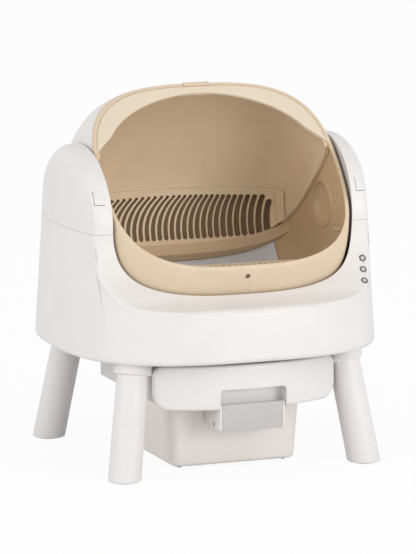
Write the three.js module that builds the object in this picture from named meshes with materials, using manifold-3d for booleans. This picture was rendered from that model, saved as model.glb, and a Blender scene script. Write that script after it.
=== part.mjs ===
// A self cleaning litter box: a round drum that turns about a left-right axis in an oval base on four
// splayed legs, with a waste drawer underneath. Millimetres, +Z up, front towards -Y, origin on the
// floor under the middle of the base.
import * as THREE from "three";
import { mergeVertices } from "three/addons/utils/BufferGeometryUtils.js";
import { ParametricGeometry } from "three/addons/geometries/ParametricGeometry.js";
import Module from "manifold-3d";

const wasm = await Module();
wasm.setup();

// General clearances and the one overrun of all cuts
const seatGap = 0.3;
const runningGap = 1.5;
const overrun = 30;
const weldDistance = 0.002;
const tidyDistance = 0.05;

// Base: an oval drum with a little draft
const baseHalfWidth = 290;
const baseHalfDepth = 268;
const baseBottom = 207;
const draftWidthShare = 0.06;
const draftDepthShare = 0.05;
const ovalPowerShare = 2.9;
const baseWall = 4;
const baseEdgeRadius = 9;
const baseSideSteps = 3;
const towerEdgeRadius = 9;
const columnSpread = 1;
const seamHeight = 428;

// Side towers and the front and rear edges of the base, seen from the side
const towerHalfDepth = 146;
const towerRise = 131;
const frontEdgeHeight = 262;
const frontShoulderDepth = 226;
const frontShoulderHeight = 296;
const frontBendDepth = 183;
const frontBendHeight = 333;
const rearEdgeHeight = 372;
const rearShoulderDepth = 236;
const rearShoulderHeight = 392;
const rearBendDepth = 190;
const rearBendHeight = 402;
const bendControlHeight = 366;
const towerFootHeight = 425;

// Drum: a barrel of revolution about the X axis, with its mouth tipped forward
const axisHeight = 438;
const drumRadius = 229;
const drumHalfWidth = 235;
const drumWall = 3.5;
const wellClearance = 5;
const barrelSidePowerShare = 2.9;
const barrelRimPowerShare = 4;
const barrelTurnSegments = 44;
const barrelProfileSteps = 7;
const mouthAngleDeg = 41.2;
const mouthOffset = 116.5;
const splitOffset = 50;
const lipDepth = 6;
const lipWidth = 8;

// Hub, dish and bearing of the drum
const hubRadius = 44;
const hubReach = 262;
const dishRadius = 40;
const dishDepth = 20;
const hubInset = 228;
const hubHollowRadius = 34;
const hubHollowDepth = 9;
const bushWall = 4;
const bracketThickness = 7;
const bracketHalfWidth = 58;

// Hood, visor, sieve, step and liner inside the drum
const linerRadius = 210;
const linerHalfWidth = 228;
const linerWall = 3;
const visorThickness = 5.5;
const visorCrown = 176;
const visorShoulderHalfWidth = 136;
const visorShoulderHeight = 139;
const visorEaveHalfWidth = 186;
const visorEaveHeight = 91;
const visorTipHalfWidth = 221;
const visorTipHeight = 58;
const sieveTopDeg = -1;
const sieveBottomDeg = -27;
const sieveHalfWidth = 204;
const sieveSlotCount = 31;
const sieveSlotPitch = 12.4;
const sieveSlotWidth = 5.6;
const sieveSlotHalfHeight = 38;
const sieveLeanShare = 0.38;
const sieveNarrowShare = 0.25;
const sieveFrameWidth = 8;
const sieveFrameRise = 3.5;
const sieveOverrunDeg = 10;
const sillRadius = 200;
const sillHalfWidth = 240;
const sillHeight = 20;
const floorLinerFrontDeg = -140;
const floorLinerRearDeg = -29;
const floorLinerHalfWidth = 196;
const floorLinerThickness = 2.5;
const stepHalfWidth = 120;
const stepRear = 132;
const stepDrop = 76;
const stepThickness = 4;
const stepSlotCount = 19;
const stepSlotPitch = 11.6;
const stepSlotWidth = 5.4;
const stepSlotFront = 200;
const stepSlotRear = 142;
const stepWebX = 108;
const stepWebRear = 150;
const stepWebDrop = 40;
const stepBossHalfWidth = 8;
const stepBossDepth = 198;
const stepBossDrop = 20;
const clipHalfWidth = 24;
const clipDepth = 7;
const clipBottom = 191;
const clipTop = 199.5;
const pegRadius = 4;
const pegStart = 218;
const pegEnd = 232;
const pegDepth = 84;
const pegDrop = 36;
const lipScrewRadius = 4;
const lipScrewShankRadius = 2;
const lipScrewInner = 217;
const lipScrewSeat = 226.5;
const lipScrewFace = 228.2;
const lipScrewDeg = 202.3;

// Drive
const toothModule = 2.5;
const gearTeeth = 48;
const pinionTeeth = 12;
const toothTipShare = 0.24;
const toothRootShare = 0.68;
const gearWidth = 8;
const pinionWidth = 7;
const shaftRadius = 4;
const shaftReach = 5;
const gearboxThickness = 12;
const gearboxHalfSize = 20;
const gearboxFlange = 4;
const standoffNear = 30;
const standoffFar = 42;
const standoffHalfHeight = 13;
const motorRadius = 12;
const motorX = 265.2;
const motorLength = 56;
const motorSocket = 1;

// Legs
const legTopX = 197;
const legTopY = 168;
const footX = 228;
const footY = 203;
const legTopRadius = 28;
const legFootRadius = 29.5;
const legSides = 24;
const collarRadius = 34;
const collarHeight = 25;
const padRadius = 22;
const padThickness = 3;
const padStand = 1.5;

// Floor of the base, waste chute and its housing
const floorThickness = 4;
const floorFlange = 18;
const chuteWall = 4;
const chuteWallHeight = 28;
const chuteHalfWidth = 146;
const chuteHalfDepth = 84;
const housingHalfWidth = 160;
const housingFront = -188;
const housingRear = 112;
const housingBottom = 129;
const housingWall = 3.5;
const runnerWidth = 16;
const runnerThickness = 4;
const funnelWall = 2.5;
const funnelMouthHalfWidth = 116;
const funnelBottom = 160;

// Drawer, bin and handle
const frameThickness = 12;
const frameSideGap = 1.5;
const frameRear = 104;
const openingHalfWidth = 129;
const binHalfWidth = 126;
const binFootHalfWidth = 117;
const binFront = -160;
const binFootFront = -152;
const binFootRear = 86;
const binRear = 92;
const binBottom = 5;
const binWall = 3;
const binCornerRadius = 18;
const binFlange = 10;
const binFlangeThickness = 3;
const binFootRadius = 4;
const binFootStand = 1.6;
const fasciaHalfWidth = 172;
const fasciaFront = 247;
const fasciaEnd = 197;
const fasciaRear = 194;
const fasciaTop = 202;
const fasciaBottom = 121;
const fasciaLowerCorner = 27;
const fasciaUpperCorner = 21;
const fasciaWall = 4;
const notchHalfWidth = 62.5;
const notchTop = 158;
const notchCorner = 8;
const notchDepth = 215;
const notchWall = 3.5;
const handleHalfWidth = 57;
const handleFront = 236;
const plateTop = 129;
const plateBottom = 81;
const plateThickness = 4;
const handleWall = 3.5;
const cheekBottom = 84;
const cheekRear = 163;
const cheekRearTop = 108;
const cheekBendDepth = 217;
const cheekBendHeight = 117;
const cheekTopDepth = 221;
const earOuter = 55;
const earThickness = 5;
const earRadius = 8;
const pinDepth = 206;
const pinHeight = 90;
const pinRadius = 3;
const pinHalfLength = 62.3;
const bracketPlateTop = 104;
const bracketPlateDepth = 7;

// Buttons, light, tabs, board and inlet
const buttonRadius = 6;
const buttonLength = 7;
const buttonStand = 0.8;
const cleanButtonX = 241;
const cleanButtonHeight = 361;
const levelButtonX = 237;
const levelButtonHeight = 343;
const modeButtonX = 232;
const modeButtonHeight = 326;
const lightRadius = 1.5;
const lightHeight = 352;
const lightX = 242;
const tabHalfWidth = 8.5;
const tabHalfHeight = 11;
const tabX = 247.5;
const tabHeight = 491;
const tabThickness = 6;
const tabReach = 44;
const boardHalfWidth = 8;
const boardHalfHeight = 20;
const boardThickness = 2;
const boardX = 230;
const boardSetback = 9;
const boardPostRadius = 2.5;
const boardPostSpacing = 11.5;
const inletX = 150;
const inletHeight = 245;
const inletHalfWidth = 13;
const inletHalfHeight = 9;
const inletDepth = 20;
const inletSocketRadius = 4;
const inletSocketDepth = 12;

const mouthTurn = THREE.MathUtils.degToRad(90 - mouthAngleDeg);
const wellRadius = drumRadius + wellClearance;
const wellHalfWidth = drumHalfWidth + wellClearance;

const warmWhite = new THREE.MeshStandardMaterial({ color: 0xf0eeeb, roughness: 0.45 });
const tan = new THREE.MeshStandardMaterial({ color: 0xd9c1a0, roughness: 0.5 });
const paleTan = new THREE.MeshStandardMaterial({ color: 0xe6d5bd, roughness: 0.5 });
const grey = new THREE.MeshStandardMaterial({ color: 0xbfbbbd, roughness: 0.35 });
const darkGrey = new THREE.MeshStandardMaterial({ color: 0x55585c, roughness: 0.6 });
const metal = new THREE.MeshStandardMaterial({ color: 0x9a9ca0, roughness: 0.3, metalness: 0.9 });
const boardGreen = new THREE.MeshStandardMaterial({ color: 0x2f6b45, roughness: 0.6 });
const linerWhite = new THREE.MeshStandardMaterial({ color: 0xe4e9ee, roughness: 0.7 });
const rubber = new THREE.MeshStandardMaterial({ color: 0x8d8a86, roughness: 0.9 });

// Makes a closed geometry a solid that can be joined and cut, facing outwards.
function solid(geometry) {
  const plain = geometry.clone();
  for (const name of Object.keys(plain.attributes)) {
    if (name !== "position") plain.deleteAttribute(name);
  }
  const merged = mergeVertices(plain, weldDistance);
  const corners = [];
  for (let i = 0; i < merged.index.count; i += 3) {
    const [a, b, c] = [0, 1, 2].map((k) => merged.index.getX(i + k));
    if (a !== b && b !== c && c !== a) corners.push(a, b, c);
  }
  const build = (list) =>
    new wasm.Manifold(
      new wasm.Mesh({
        numProp: 3,
        vertProperties: new Float32Array(merged.attributes.position.array),
        triVerts: new Uint32Array(list),
      }),
    );
  const made = build(corners);
  if (made.volume() >= 0) return made;
  const flipped = [];
  for (let i = 0; i < corners.length; i += 3) flipped.push(corners[i], corners[i + 2], corners[i + 1]);
  return build(flipped);
}

// Gives a solid back as a geometry, without the slivers that a cut leaves.
function geometryOf(made) {
  const mesh = made.simplify(tidyDistance).getMesh();
  const geometry = new THREE.BufferGeometry();
  geometry.setAttribute("position", new THREE.BufferAttribute(new Float32Array(mesh.vertProperties), 3));
  geometry.setIndex(new THREE.BufferAttribute(new Uint32Array(mesh.triVerts), 1));
  geometry.computeVertexNormals();
  return geometry;
}

function box(x0, x1, y0, y1, z0, z1) {
  const geometry = new THREE.BoxGeometry(x1 - x0, y1 - y0, z1 - z0);
  return solid(geometry.translate((x0 + x1) / 2, (y0 + y1) / 2, (z0 + z1) / 2));
}

// A round bar from point a to point b
function bar(a, b, radiusA, radiusB = radiusA, sides = 20) {
  const length = a.distanceTo(b);
  const geometry = new THREE.CylinderGeometry(radiusB, radiusA, length, sides);
  const turn = new THREE.Quaternion().setFromUnitVectors(
    new THREE.Vector3(0, 1, 0),
    b.clone().sub(a).normalize(),
  );
  geometry.applyQuaternion(turn);
  const middle = a.clone().add(b).multiplyScalar(1 / 2);
  return solid(geometry.translate(middle.x, middle.y, middle.z));
}

function point(x, y, z) {
  return new THREE.Vector3(x, y, z);
}

// Extrudes an outline drawn in X and Y upwards from z0 to z1.
function prismZ(outline, z0, z1) {
  const geometry = new THREE.ExtrudeGeometry(outline, { depth: z1 - z0, bevelEnabled: false });
  return solid(geometry.translate(0, 0, z0));
}

// Extrudes an outline drawn in Y and Z along X.
function prismX(outline, x0, x1) {
  const geometry = new THREE.ExtrudeGeometry(outline, { depth: x1 - x0, bevelEnabled: false });
  const basis = new THREE.Matrix4().makeBasis(point(0, 1, 0), point(0, 0, 1), point(1, 0, 0));
  return solid(geometry.applyMatrix4(basis).translate(x0, 0, 0));
}

// Extrudes an outline drawn in X and Z from y1 back to y0.
function prismY(outline, y0, y1) {
  const geometry = new THREE.ExtrudeGeometry(outline, { depth: y1 - y0, bevelEnabled: false });
  const basis = new THREE.Matrix4().makeBasis(point(1, 0, 0), point(0, 0, 1), point(0, -1, 0));
  return solid(geometry.applyMatrix4(basis).translate(0, y1, 0));
}

function roundedOutline(x0, x1, y0, y1, radius) {
  const outline = new THREE.Shape();
  outline.moveTo(x0 + radius, y0);
  outline.lineTo(x1 - radius, y0);
  outline.absarc(x1 - radius, y0 + radius, radius, -Math.PI / 2, 0, false);
  outline.absarc(x1 - radius, y1 - radius, radius, 0, Math.PI / 2, false);
  outline.absarc(x0 + radius, y1 - radius, radius, Math.PI / 2, Math.PI, false);
  outline.absarc(x0 + radius, y0 + radius, radius, Math.PI, (Math.PI * 3) / 2, false);
  return new THREE.Shape(outline.getPoints(4));
}

// The base's oval: half width and depth shrink with height, by the draft.
function ovalHalfWidthAt(z, inset) {
  return baseHalfWidth - (z - baseBottom) * draftWidthShare - inset;
}

function ovalHalfDepthAt(z, inset) {
  return baseHalfDepth - (z - baseBottom) * draftDepthShare - inset;
}

function ovalShare(share) {
  return Math.pow(1 - Math.pow(Math.abs(share), ovalPowerShare), 1 / ovalPowerShare);
}

function ovalY(x, z, inset) {
  return ovalHalfDepthAt(z, inset) * ovalShare(Math.min(Math.abs(x) / ovalHalfWidthAt(z, inset), 1));
}

// The top edge of the base seen from the side, as points from front to back.
function topEdge(inset) {
  const path = new THREE.Path();
  path.moveTo(-ovalHalfDepthAt(frontEdgeHeight, inset), frontEdgeHeight - inset);
  path.quadraticCurveTo(
    -ovalHalfDepthAt(frontEdgeHeight, inset),
    frontShoulderHeight - (baseHalfDepth - frontShoulderDepth) / 2 - inset,
    -frontShoulderDepth + inset,
    frontShoulderHeight - inset,
  );
  path.lineTo(-frontBendDepth + inset, frontBendHeight - inset);
  path.quadraticCurveTo(
    -towerHalfDepth + inset, bendControlHeight - inset,
    -towerHalfDepth + inset, towerFootHeight,
  );
  path.absellipse(
    0, axisHeight, towerHalfDepth - inset, towerRise - inset, Math.PI, 0, true, 0,
  );
  path.lineTo(towerHalfDepth - inset, towerFootHeight + inset);
  path.quadraticCurveTo(
    towerHalfDepth - inset, rearBendHeight - inset,
    rearBendDepth - inset, rearBendHeight - inset,
  );
  path.lineTo(rearShoulderDepth - inset, rearShoulderHeight - inset);
  path.quadraticCurveTo(
    ovalHalfDepthAt(rearEdgeHeight, inset), rearShoulderHeight - inset,
    ovalHalfDepthAt(rearEdgeHeight, inset), rearEdgeHeight - inset,
  );
  const points = [];
  for (const curve of path.curves) {
    const steps = curve.type === "EllipseCurve" ? 14 : curve.type === "LineCurve" ? 1 : 3;
    const some = curve.getPoints(steps);
    for (const p of some) {
      if (!points.length || points.at(-1).distanceTo(p) > weldDistance) points.push(p);
    }
  }
  return points;
}

// The filled form of the base and its towers. Each point of the top edge carries a column on either
// side of the oval: a rounded bottom edge, the drafted wall, a rounded top edge, and a flat roof along X.
function baseForm(inset, bottom, edgeRadius, topRadius) {
  const points = topEdge(inset);
  const count = points.length;
  const normals = points.map((p, i) => {
    const before = points[Math.max(i - 1, 0)];
    const after = points[Math.min(i + 1, count - 1)];
    return new THREE.Vector2(-(after.y - before.y), after.x - before.x).normalize();
  });
  const lengths = [0];
  for (let i = 1; i < count; i += 1) {
    lengths.push(lengths[i - 1] + Math.abs(points[i].x - points[i - 1].x) + columnSpread);
  }
  const onOval = (share, z, extra) => [
    (ovalHalfWidthAt(z, inset) - extra) * ovalShare(share),
    (ovalHalfDepthAt(z, inset) - extra) * share,
  ];
  const roundSteps = 2;
  const stacks = 1 + roundSteps + baseSideSteps + roundSteps + 1;
  const slices = 2 * count - 2;
  const place = (u, v, target) => {
    const k = Math.round(u * slices) % slices;
    const i = k < count ? k : slices - k;
    const side = i === 0 || i === count - 1 ? 0 : k < count ? 1 : -1;
    const p = points[i];
    const n = normals[i];
    const startZ = p.y - n.y * topRadius;
    const startY = p.x - n.x * topRadius;
    const startShare = THREE.MathUtils.clamp(startY / ovalHalfDepthAt(startZ, inset), -1, 1);
    const bottomShare = Math.sin((((2 * lengths[i]) / lengths[count - 1] - 1) * Math.PI) / 2);
    const level = Math.round(v * stacks);
    if (level <= roundSteps + 1) {
      const turn = level === 0 ? 0 : ((level - 1) / roundSteps) * (Math.PI / 2);
      const z = bottom + edgeRadius * (1 - Math.cos(turn));
      const [x, y] = onOval(bottomShare, z, edgeRadius * (1 - Math.sin(turn)));
      target.set(level === 0 ? 0 : side * x, y, z);
    } else if (level <= roundSteps + 1 + baseSideSteps) {
      const share = (level - roundSteps - 1) / baseSideSteps;
      const z = THREE.MathUtils.lerp(bottom + edgeRadius, startZ, share);
      const [x, y] = onOval(THREE.MathUtils.lerp(bottomShare, startShare, share), z, 0);
      target.set(side * x, y, z);
    } else {
      const top = level === stacks;
      const roundShare = top ? 1 : (level - roundSteps - 1 - baseSideSteps) / roundSteps;
      const turn = (roundShare * Math.PI) / 2;
      const inward = topRadius * (1 - Math.sin(turn));
      const [wallX] = onOval(startShare, startZ, 0);
      const x = top ? 0 : Math.max(wallX - topRadius * (1 - Math.cos(turn)), 0);
      target.set(side * x, p.x - n.x * inward, p.y - n.y * inward);
    }
  };
  return solid(new ParametricGeometry(place, slices, stacks));
}

// A barrel of revolution about X, with flat-ended sides and rounded shoulders.
function barrel(radius, halfWidth, steps = barrelProfileSteps, segments = barrelTurnSegments) {
  const half = [];
  for (let i = 0; i <= steps; i += 1) {
    const turn = (i / steps) * (Math.PI / 2);
    half.push([
      radius * Math.pow(Math.cos(turn), 2 / barrelRimPowerShare),
      halfWidth * Math.pow(Math.sin(turn), 2 / barrelSidePowerShare),
    ]);
  }
  half[steps][0] = 0;
  const left = half.map(([r, x]) => new THREE.Vector2(r, -x)).reverse();
  const right = half.slice(1).map(([r, x]) => new THREE.Vector2(r, x));
  const geometry = new THREE.LatheGeometry([...left, ...right], segments);
  return solid(geometry.rotateZ(-Math.PI / 2));
}

// A sector of a ring about X, between two angles measured from +Y towards +Z.
function sector(fromDeg, toDeg, innerRadius, outerRadius, halfWidth) {
  const from = THREE.MathUtils.degToRad(fromDeg);
  const to = THREE.MathUtils.degToRad(toDeg);
  const outline = new THREE.Shape();
  outline.moveTo(innerRadius * Math.cos(from), innerRadius * Math.sin(from));
  outline.absarc(0, 0, outerRadius, from, to, false);
  outline.absarc(0, 0, innerRadius, to, from, true);
  return prismX(new THREE.Shape(outline.getPoints(12)), -halfWidth, halfWidth);
}

// Turns a solid from the level frame about the axis into the drum's frame, where the mouth faces +Z.
function intoDrumFrame(made) {
  return solid(geometryOf(made).rotateX(-mouthTurn));
}

function pointInDrum(x, y, z) {
  return point(x, y, z).applyAxisAngle(point(1, 0, 0), -mouthTurn);
}

const far = baseHalfWidth + overrun;
const mouthTurnDeg = THREE.MathUtils.radToDeg(mouthTurn);
const halfGap = seatGap / 2;

const root = new THREE.Group();
const drumGroup = new THREE.Group();
drumGroup.position.set(0, 0, axisHeight);
drumGroup.rotation.x = mouthTurn;
root.add(drumGroup);

function add(name, made, material, group = root) {
  const mesh = new THREE.Mesh(geometryOf(made), material);
  mesh.name = name;
  group.add(mesh);
  return mesh;
}

// Base shell and tower caps

function floorOutline(inset) {
  const outline = [];
  const steps = 56;
  const a = ovalHalfWidthAt(baseBottom, inset);
  const b = ovalHalfDepthAt(baseBottom, inset);
  const power = 2 / ovalPowerShare;
  for (let i = 0; i < steps; i += 1) {
    const turn = (i / steps) * Math.PI * 2;
    const [c, d] = [Math.cos(turn), Math.sin(turn)];
    outline.push(
      new THREE.Vector2(
        a * Math.sign(c) * Math.pow(Math.abs(c), power),
        b * Math.sign(d) * Math.pow(Math.abs(d), power),
      ),
    );
  }
  return new THREE.Shape(outline);
}

const floorTop = baseBottom + floorThickness;
const outerForm = baseForm(0, baseBottom, baseEdgeRadius, towerEdgeRadius);
const innerForm = baseForm(baseWall, floorTop, baseEdgeRadius / 2, towerEdgeRadius / 2);
const well = barrel(wellRadius, wellHalfWidth).translate([0, 0, axisHeight]);
const wellSkin = barrel(wellRadius + baseWall, wellHalfWidth + baseWall).translate([0, 0, axisHeight]);
const chuteOuterX = chuteHalfWidth + chuteWall;
const chuteOuterY = chuteHalfDepth + chuteWall;
const chuteBlock = box(
  -chuteOuterX, chuteOuterX, -chuteOuterY, chuteOuterY, baseBottom - overrun, baseBottom + chuteWallHeight,
);
const chuteCut = box(
  -chuteHalfWidth, chuteHalfWidth, -chuteHalfDepth, chuteHalfDepth, baseBottom - overrun, axisHeight,
);
const floorOpening = prismZ(floorOutline(floorFlange), baseBottom - overrun, floorTop + floorThickness / 2)
  .subtract(chuteBlock);
const wellOuter = wellHalfWidth + baseWall + runningGap;
const hubHole = bar(
  point(-wellOuter, 0, axisHeight), point(wellOuter, 0, axisHeight),
  hubRadius + bushWall + runningGap, undefined, 40,
);
const shell = outerForm
  .subtract(innerForm.subtract(wellSkin.add(chuteBlock)))
  .subtract(well)
  .subtract(chuteCut)
  .subtract(floorOpening)
  .subtract(hubHole);

// A point of the front band at a height, with the outward direction there
function bandPoint(height, x) {
  const points = topEdge(0);
  for (let i = 1; i < points.length; i += 1) {
    const [a, b] = [points[i - 1], points[i]];
    if (a.y <= height && b.y >= height) {
      const share = (height - a.y) / (b.y - a.y);
      const normal = new THREE.Vector2(-(b.y - a.y), b.x - a.x).normalize();
      return {
        at: point(x, THREE.MathUtils.lerp(a.x, b.x, share), height),
        out: point(0, normal.x, normal.y),
      };
    }
  }
  throw new Error("no band at that height");
}

function bandPlug(height, x, radius, from, to, sides = 16) {
  const { at, out } = bandPoint(height, x);
  return bar(
    at.clone().addScaledVector(out, from), at.clone().addScaledVector(out, to), radius, radius, sides,
  );
}

const lowerPart = box(-far, far, -far, far, 0, seamHeight - halfGap);
const upperRight = box(0, far, -far, far, seamHeight + halfGap, axisHeight * 2);
const upperLeft = box(-far, 0, -far, far, seamHeight + halfGap, axisHeight * 2);

let baseShell = shell.intersect(lowerPart);
const buttons = [
  ["clean_button", cleanButtonX, cleanButtonHeight],
  ["level_button", levelButtonX, levelButtonHeight],
  ["mode_button", modeButtonX, modeButtonHeight],
];
const { at: boardAt, out: boardOut } = bandPoint(levelButtonHeight, boardX);
const boardUp = boardOut.clone().applyAxisAngle(point(1, 0, 0), -Math.PI / 2);
for (const end of [-1, 1]) {
  const corner = boardAt.clone()
    .addScaledVector(point(1, 0, 0), boardPostRadius * 2 - boardHalfWidth)
    .addScaledVector(boardUp, end * boardPostSpacing);
  baseShell = baseShell.add(
    bar(
      corner.clone().addScaledVector(boardOut, -boardSetback + seatGap),
      corner.clone().addScaledVector(boardOut, -baseWall / 2),
      boardPostRadius, boardPostRadius, 10,
    ).intersect(outerForm),
  );
}
for (const [, x, height] of buttons) {
  baseShell = baseShell.subtract(bandPlug(height, x, buttonRadius + seatGap, -boardSetback, baseWall));
}
baseShell = baseShell.subtract(
  bandPlug(lightHeight, lightX, lightRadius + seatGap, -boardSetback, baseWall, 12),
);
const inletSkin = ovalY(inletX, inletHeight, 0);
const windowHalfWidth = inletHalfWidth + seatGap;
const windowHalfHeight = inletHalfHeight + seatGap;
baseShell = baseShell.subtract(
  box(
    inletX - windowHalfWidth, inletX + windowHalfWidth, inletSkin - inletDepth, inletSkin + overrun,
    inletHeight - windowHalfHeight, inletHeight + windowHalfHeight,
  ),
);
add("base_shell", baseShell, warmWhite);

let caps = shell;
for (const side of [-1, 1]) {
  caps = caps.subtract(
    box(
      side * tabX - tabHalfWidth - seatGap, side * tabX + tabHalfWidth + seatGap,
      -towerHalfDepth - overrun, -towerHalfDepth + tabReach,
      tabHeight - tabHalfHeight - seatGap, tabHeight + tabHalfHeight + seatGap,
    ),
  );
}
add("left_tower_cap", caps.intersect(upperLeft), warmWhite);
add("right_tower_cap", caps.intersect(upperRight), warmWhite);

for (const [name, side] of [["left", -1], ["right", 1]]) {
  const flush = box(
    side * tabX - tabHalfWidth, side * tabX + tabHalfWidth,
    -towerHalfDepth - overrun, -towerHalfDepth + tabReach,
    tabHeight - tabHalfHeight, tabHeight + tabHalfHeight,
  ).intersect(outerForm);
  add(`${name}_release_tab`, flush.subtract(flush.translate([0, tabThickness, 0])), warmWhite);
}

// Buttons, status light and the board behind them

for (const [name, x, height] of buttons) {
  add(name, bandPlug(height, x, buttonRadius, -buttonLength, buttonStand), grey);
}
add("status_light", bandPlug(lightHeight, lightX, lightRadius, -buttonLength, 0, 12), linerWhite);

const boardGeometry = new THREE.BoxGeometry(boardHalfWidth * 2, boardHalfHeight * 2, boardThickness);
boardGeometry.applyMatrix4(new THREE.Matrix4().makeBasis(point(1, 0, 0), boardUp, boardOut));
const boardMiddle = boardAt.clone().addScaledVector(boardOut, -boardSetback - boardThickness / 2);
boardGeometry.translate(boardMiddle.x, boardMiddle.y, boardMiddle.z);
add("control_board", solid(boardGeometry), boardGreen);

// Power inlet at the rear, standing on the floor behind its window

const inletBack = ovalY(inletX + inletHalfWidth, inletHeight, baseWall * 2);
const inlet = box(
  inletX - inletHalfWidth, inletX + inletHalfWidth, inletBack - inletDepth, inletBack,
  floorTop + seatGap, inletHeight + inletHalfHeight,
)
  .add(
    box(
      inletX - inletHalfWidth, inletX + inletHalfWidth, inletBack - inletDepth, inletSkin,
      inletHeight - inletHalfHeight, inletHeight + inletHalfHeight,
    ),
  )
  .subtract(
    bar(
      point(inletX, inletSkin - inletSocketDepth, inletHeight),
      point(inletX, inletSkin + overrun, inletHeight), inletSocketRadius, undefined, 16,
    ),
  );
add("power_inlet", inlet, darkGrey);

// Floor of the base

const baseFloor = prismZ(floorOutline(floorFlange + seatGap), baseBottom, floorTop).subtract(
  box(
    -chuteOuterX - seatGap, chuteOuterX + seatGap, -chuteOuterY - seatGap, chuteOuterY + seatGap,
    baseBottom - overrun, floorTop + overrun,
  ),
);
add("base_floor", baseFloor, warmWhite);

// Legs, collars and pads

const legNames = ["front_left", "front_right", "rear_left", "rear_right"];
legNames.forEach((name, i) => {
  const sideX = i % 2 === 0 ? -1 : 1;
  const sideY = i < 2 ? -1 : 1;
  const top = point(sideX * legTopX, sideY * legTopY, baseBottom - seatGap);
  const foot = point(sideX * footX, sideY * footY, 0);
  const along = top.clone().sub(foot).normalize();
  const aboveFloor = box(-far, far, -far, far, padStand, baseBottom - seatGap);
  const collarFoot = top.clone().addScaledVector(along, -collarHeight);
  const legTop = collarFoot.clone().addScaledVector(along, collarHeight / 3);
  const padTop = point(foot.x, foot.y, padThickness);
  const padRoom = bar(
    point(foot.x, foot.y, -overrun), point(foot.x, foot.y, padThickness + seatGap), padRadius + seatGap,
  );
  const leg = bar(
    foot.clone().addScaledVector(along, -overrun), legTop, legFootRadius, legTopRadius, legSides,
  );
  add(`leg_${name}`, leg.intersect(aboveFloor).subtract(padRoom), warmWhite);
  const socket = bar(
    collarFoot.clone().addScaledVector(along, -overrun), legTop.clone().addScaledVector(along, seatGap),
    legTopRadius + seatGap, undefined, legSides,
  );
  const collar = bar(
    collarFoot, top.clone().addScaledVector(along, overrun), collarRadius, undefined, legSides,
  );
  add(`leg_collar_${name}`, collar.intersect(aboveFloor).subtract(socket), warmWhite);
  add(`foot_pad_${name}`, bar(point(foot.x, foot.y, 0), padTop, padRadius), rubber);
});

// Chute housing under the floor, open at the front and below, with a runner along each side

const housingTop = baseBottom - seatGap;
const housingInner = housingHalfWidth - housingWall;
const housing = box(
  -housingHalfWidth, housingHalfWidth, housingFront, housingRear, housingBottom, housingTop,
)
  .subtract(
    box(
      -housingInner, housingInner, housingFront - overrun, housingRear - housingWall,
      housingBottom + runnerThickness, housingTop - housingWall,
    ),
  )
  .subtract(
    box(
      -housingHalfWidth + runnerWidth, housingHalfWidth - runnerWidth,
      housingFront - overrun, housingRear - housingWall,
      housingBottom - overrun, housingTop - housingWall,
    ),
  )
  .subtract(chuteCut.translate([0, 0, -overrun]));
add("chute_housing", housing, warmWhite);

function funnelOutline(inset, top, bottom) {
  const outline = new THREE.Shape();
  outline.moveTo(-chuteHalfWidth + inset, top);
  outline.lineTo(-funnelMouthHalfWidth + inset, bottom);
  outline.lineTo(funnelMouthHalfWidth - inset, bottom);
  outline.lineTo(chuteHalfWidth - inset, top);
  return outline;
}
const funnelDepth = chuteHalfDepth - seatGap;
const funnel = prismY(funnelOutline(seatGap, housingTop, funnelBottom), -funnelDepth, funnelDepth)
  .subtract(
    prismY(
      funnelOutline(seatGap + funnelWall, housingTop + seatGap, funnelBottom - seatGap),
      -funnelDepth + funnelWall, funnelDepth - funnelWall,
    ),
  );
add("chute_funnel", funnel, warmWhite);

// Bearing brackets and bushes inside the towers

const bracketInner = wellHalfWidth + baseWall + seatGap;
const bracketOuter = bracketInner + bracketThickness;
const gearReach = (toothModule * gearTeeth) / 2;
const pinionReach = (toothModule * pinionTeeth) / 2;
const pinionHeight = axisHeight - gearReach - pinionReach;
const bushOuter = hubRadius + bushWall;
function acrossBore(radius, height, sides) {
  return bar(point(-far, 0, height), point(far, 0, height), radius, undefined, sides);
}

for (const [name, side] of [["left", -1], ["right", 1]]) {
  const x0 = side < 0 ? -bracketOuter : bracketInner;
  const x1 = x0 + bracketThickness;
  const ring = bar(point(x0, 0, axisHeight), point(x1, 0, axisHeight), bracketHalfWidth, undefined, 40);
  const post = box(x0, x1, -bracketHalfWidth, bracketHalfWidth, floorTop + seatGap, axisHeight);
  let bracket = ring.add(post).subtract(acrossBore(bushOuter + seatGap, axisHeight, 32));
  if (side > 0) bracket = bracket.subtract(acrossBore(shaftRadius + seatGap, pinionHeight, 20));
  add(`${name}_bearing_bracket`, bracket, darkGrey);
  const bush = bar(point(x0, 0, axisHeight), point(x1, 0, axisHeight), bushOuter, undefined, 32);
  add(`${name}_hub_bush`, bush.subtract(acrossBore(hubRadius + seatGap, axisHeight, 32)), grey);
}

// Geared motor: a flat case beside the pinion, its motor hanging below, on two standoffs

const gearStart = bracketOuter + runningGap;
const gearEnd = gearStart + gearWidth;
const caseStart = gearEnd + seatGap * 2;
const caseTop = pinionHeight + gearboxHalfSize;
const caseBottom = pinionHeight - gearboxHalfSize;
let gearmotor = box(
  caseStart, caseStart + gearboxThickness, -gearboxHalfSize, gearboxHalfSize, caseBottom, caseTop,
)
  .add(
    bar(point(motorX, 0, caseBottom - motorLength), point(motorX, 0, caseBottom + motorSocket), motorRadius),
  )
  .add(
    box(
      caseStart, caseStart + gearboxFlange, -standoffFar, standoffFar,
      pinionHeight - standoffHalfHeight, pinionHeight + standoffHalfHeight,
    ),
  );
for (const side of [-1, 1]) {
  const [y0, y1] = side < 0 ? [-standoffFar, -standoffNear] : [standoffNear, standoffFar];
  gearmotor = gearmotor.add(
    box(
      bracketOuter + seatGap, caseStart + gearboxFlange, y0, y1,
      pinionHeight - standoffHalfHeight, pinionHeight + standoffHalfHeight,
    ),
  );
}
const shaftEnd = caseStart + shaftReach;
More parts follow.
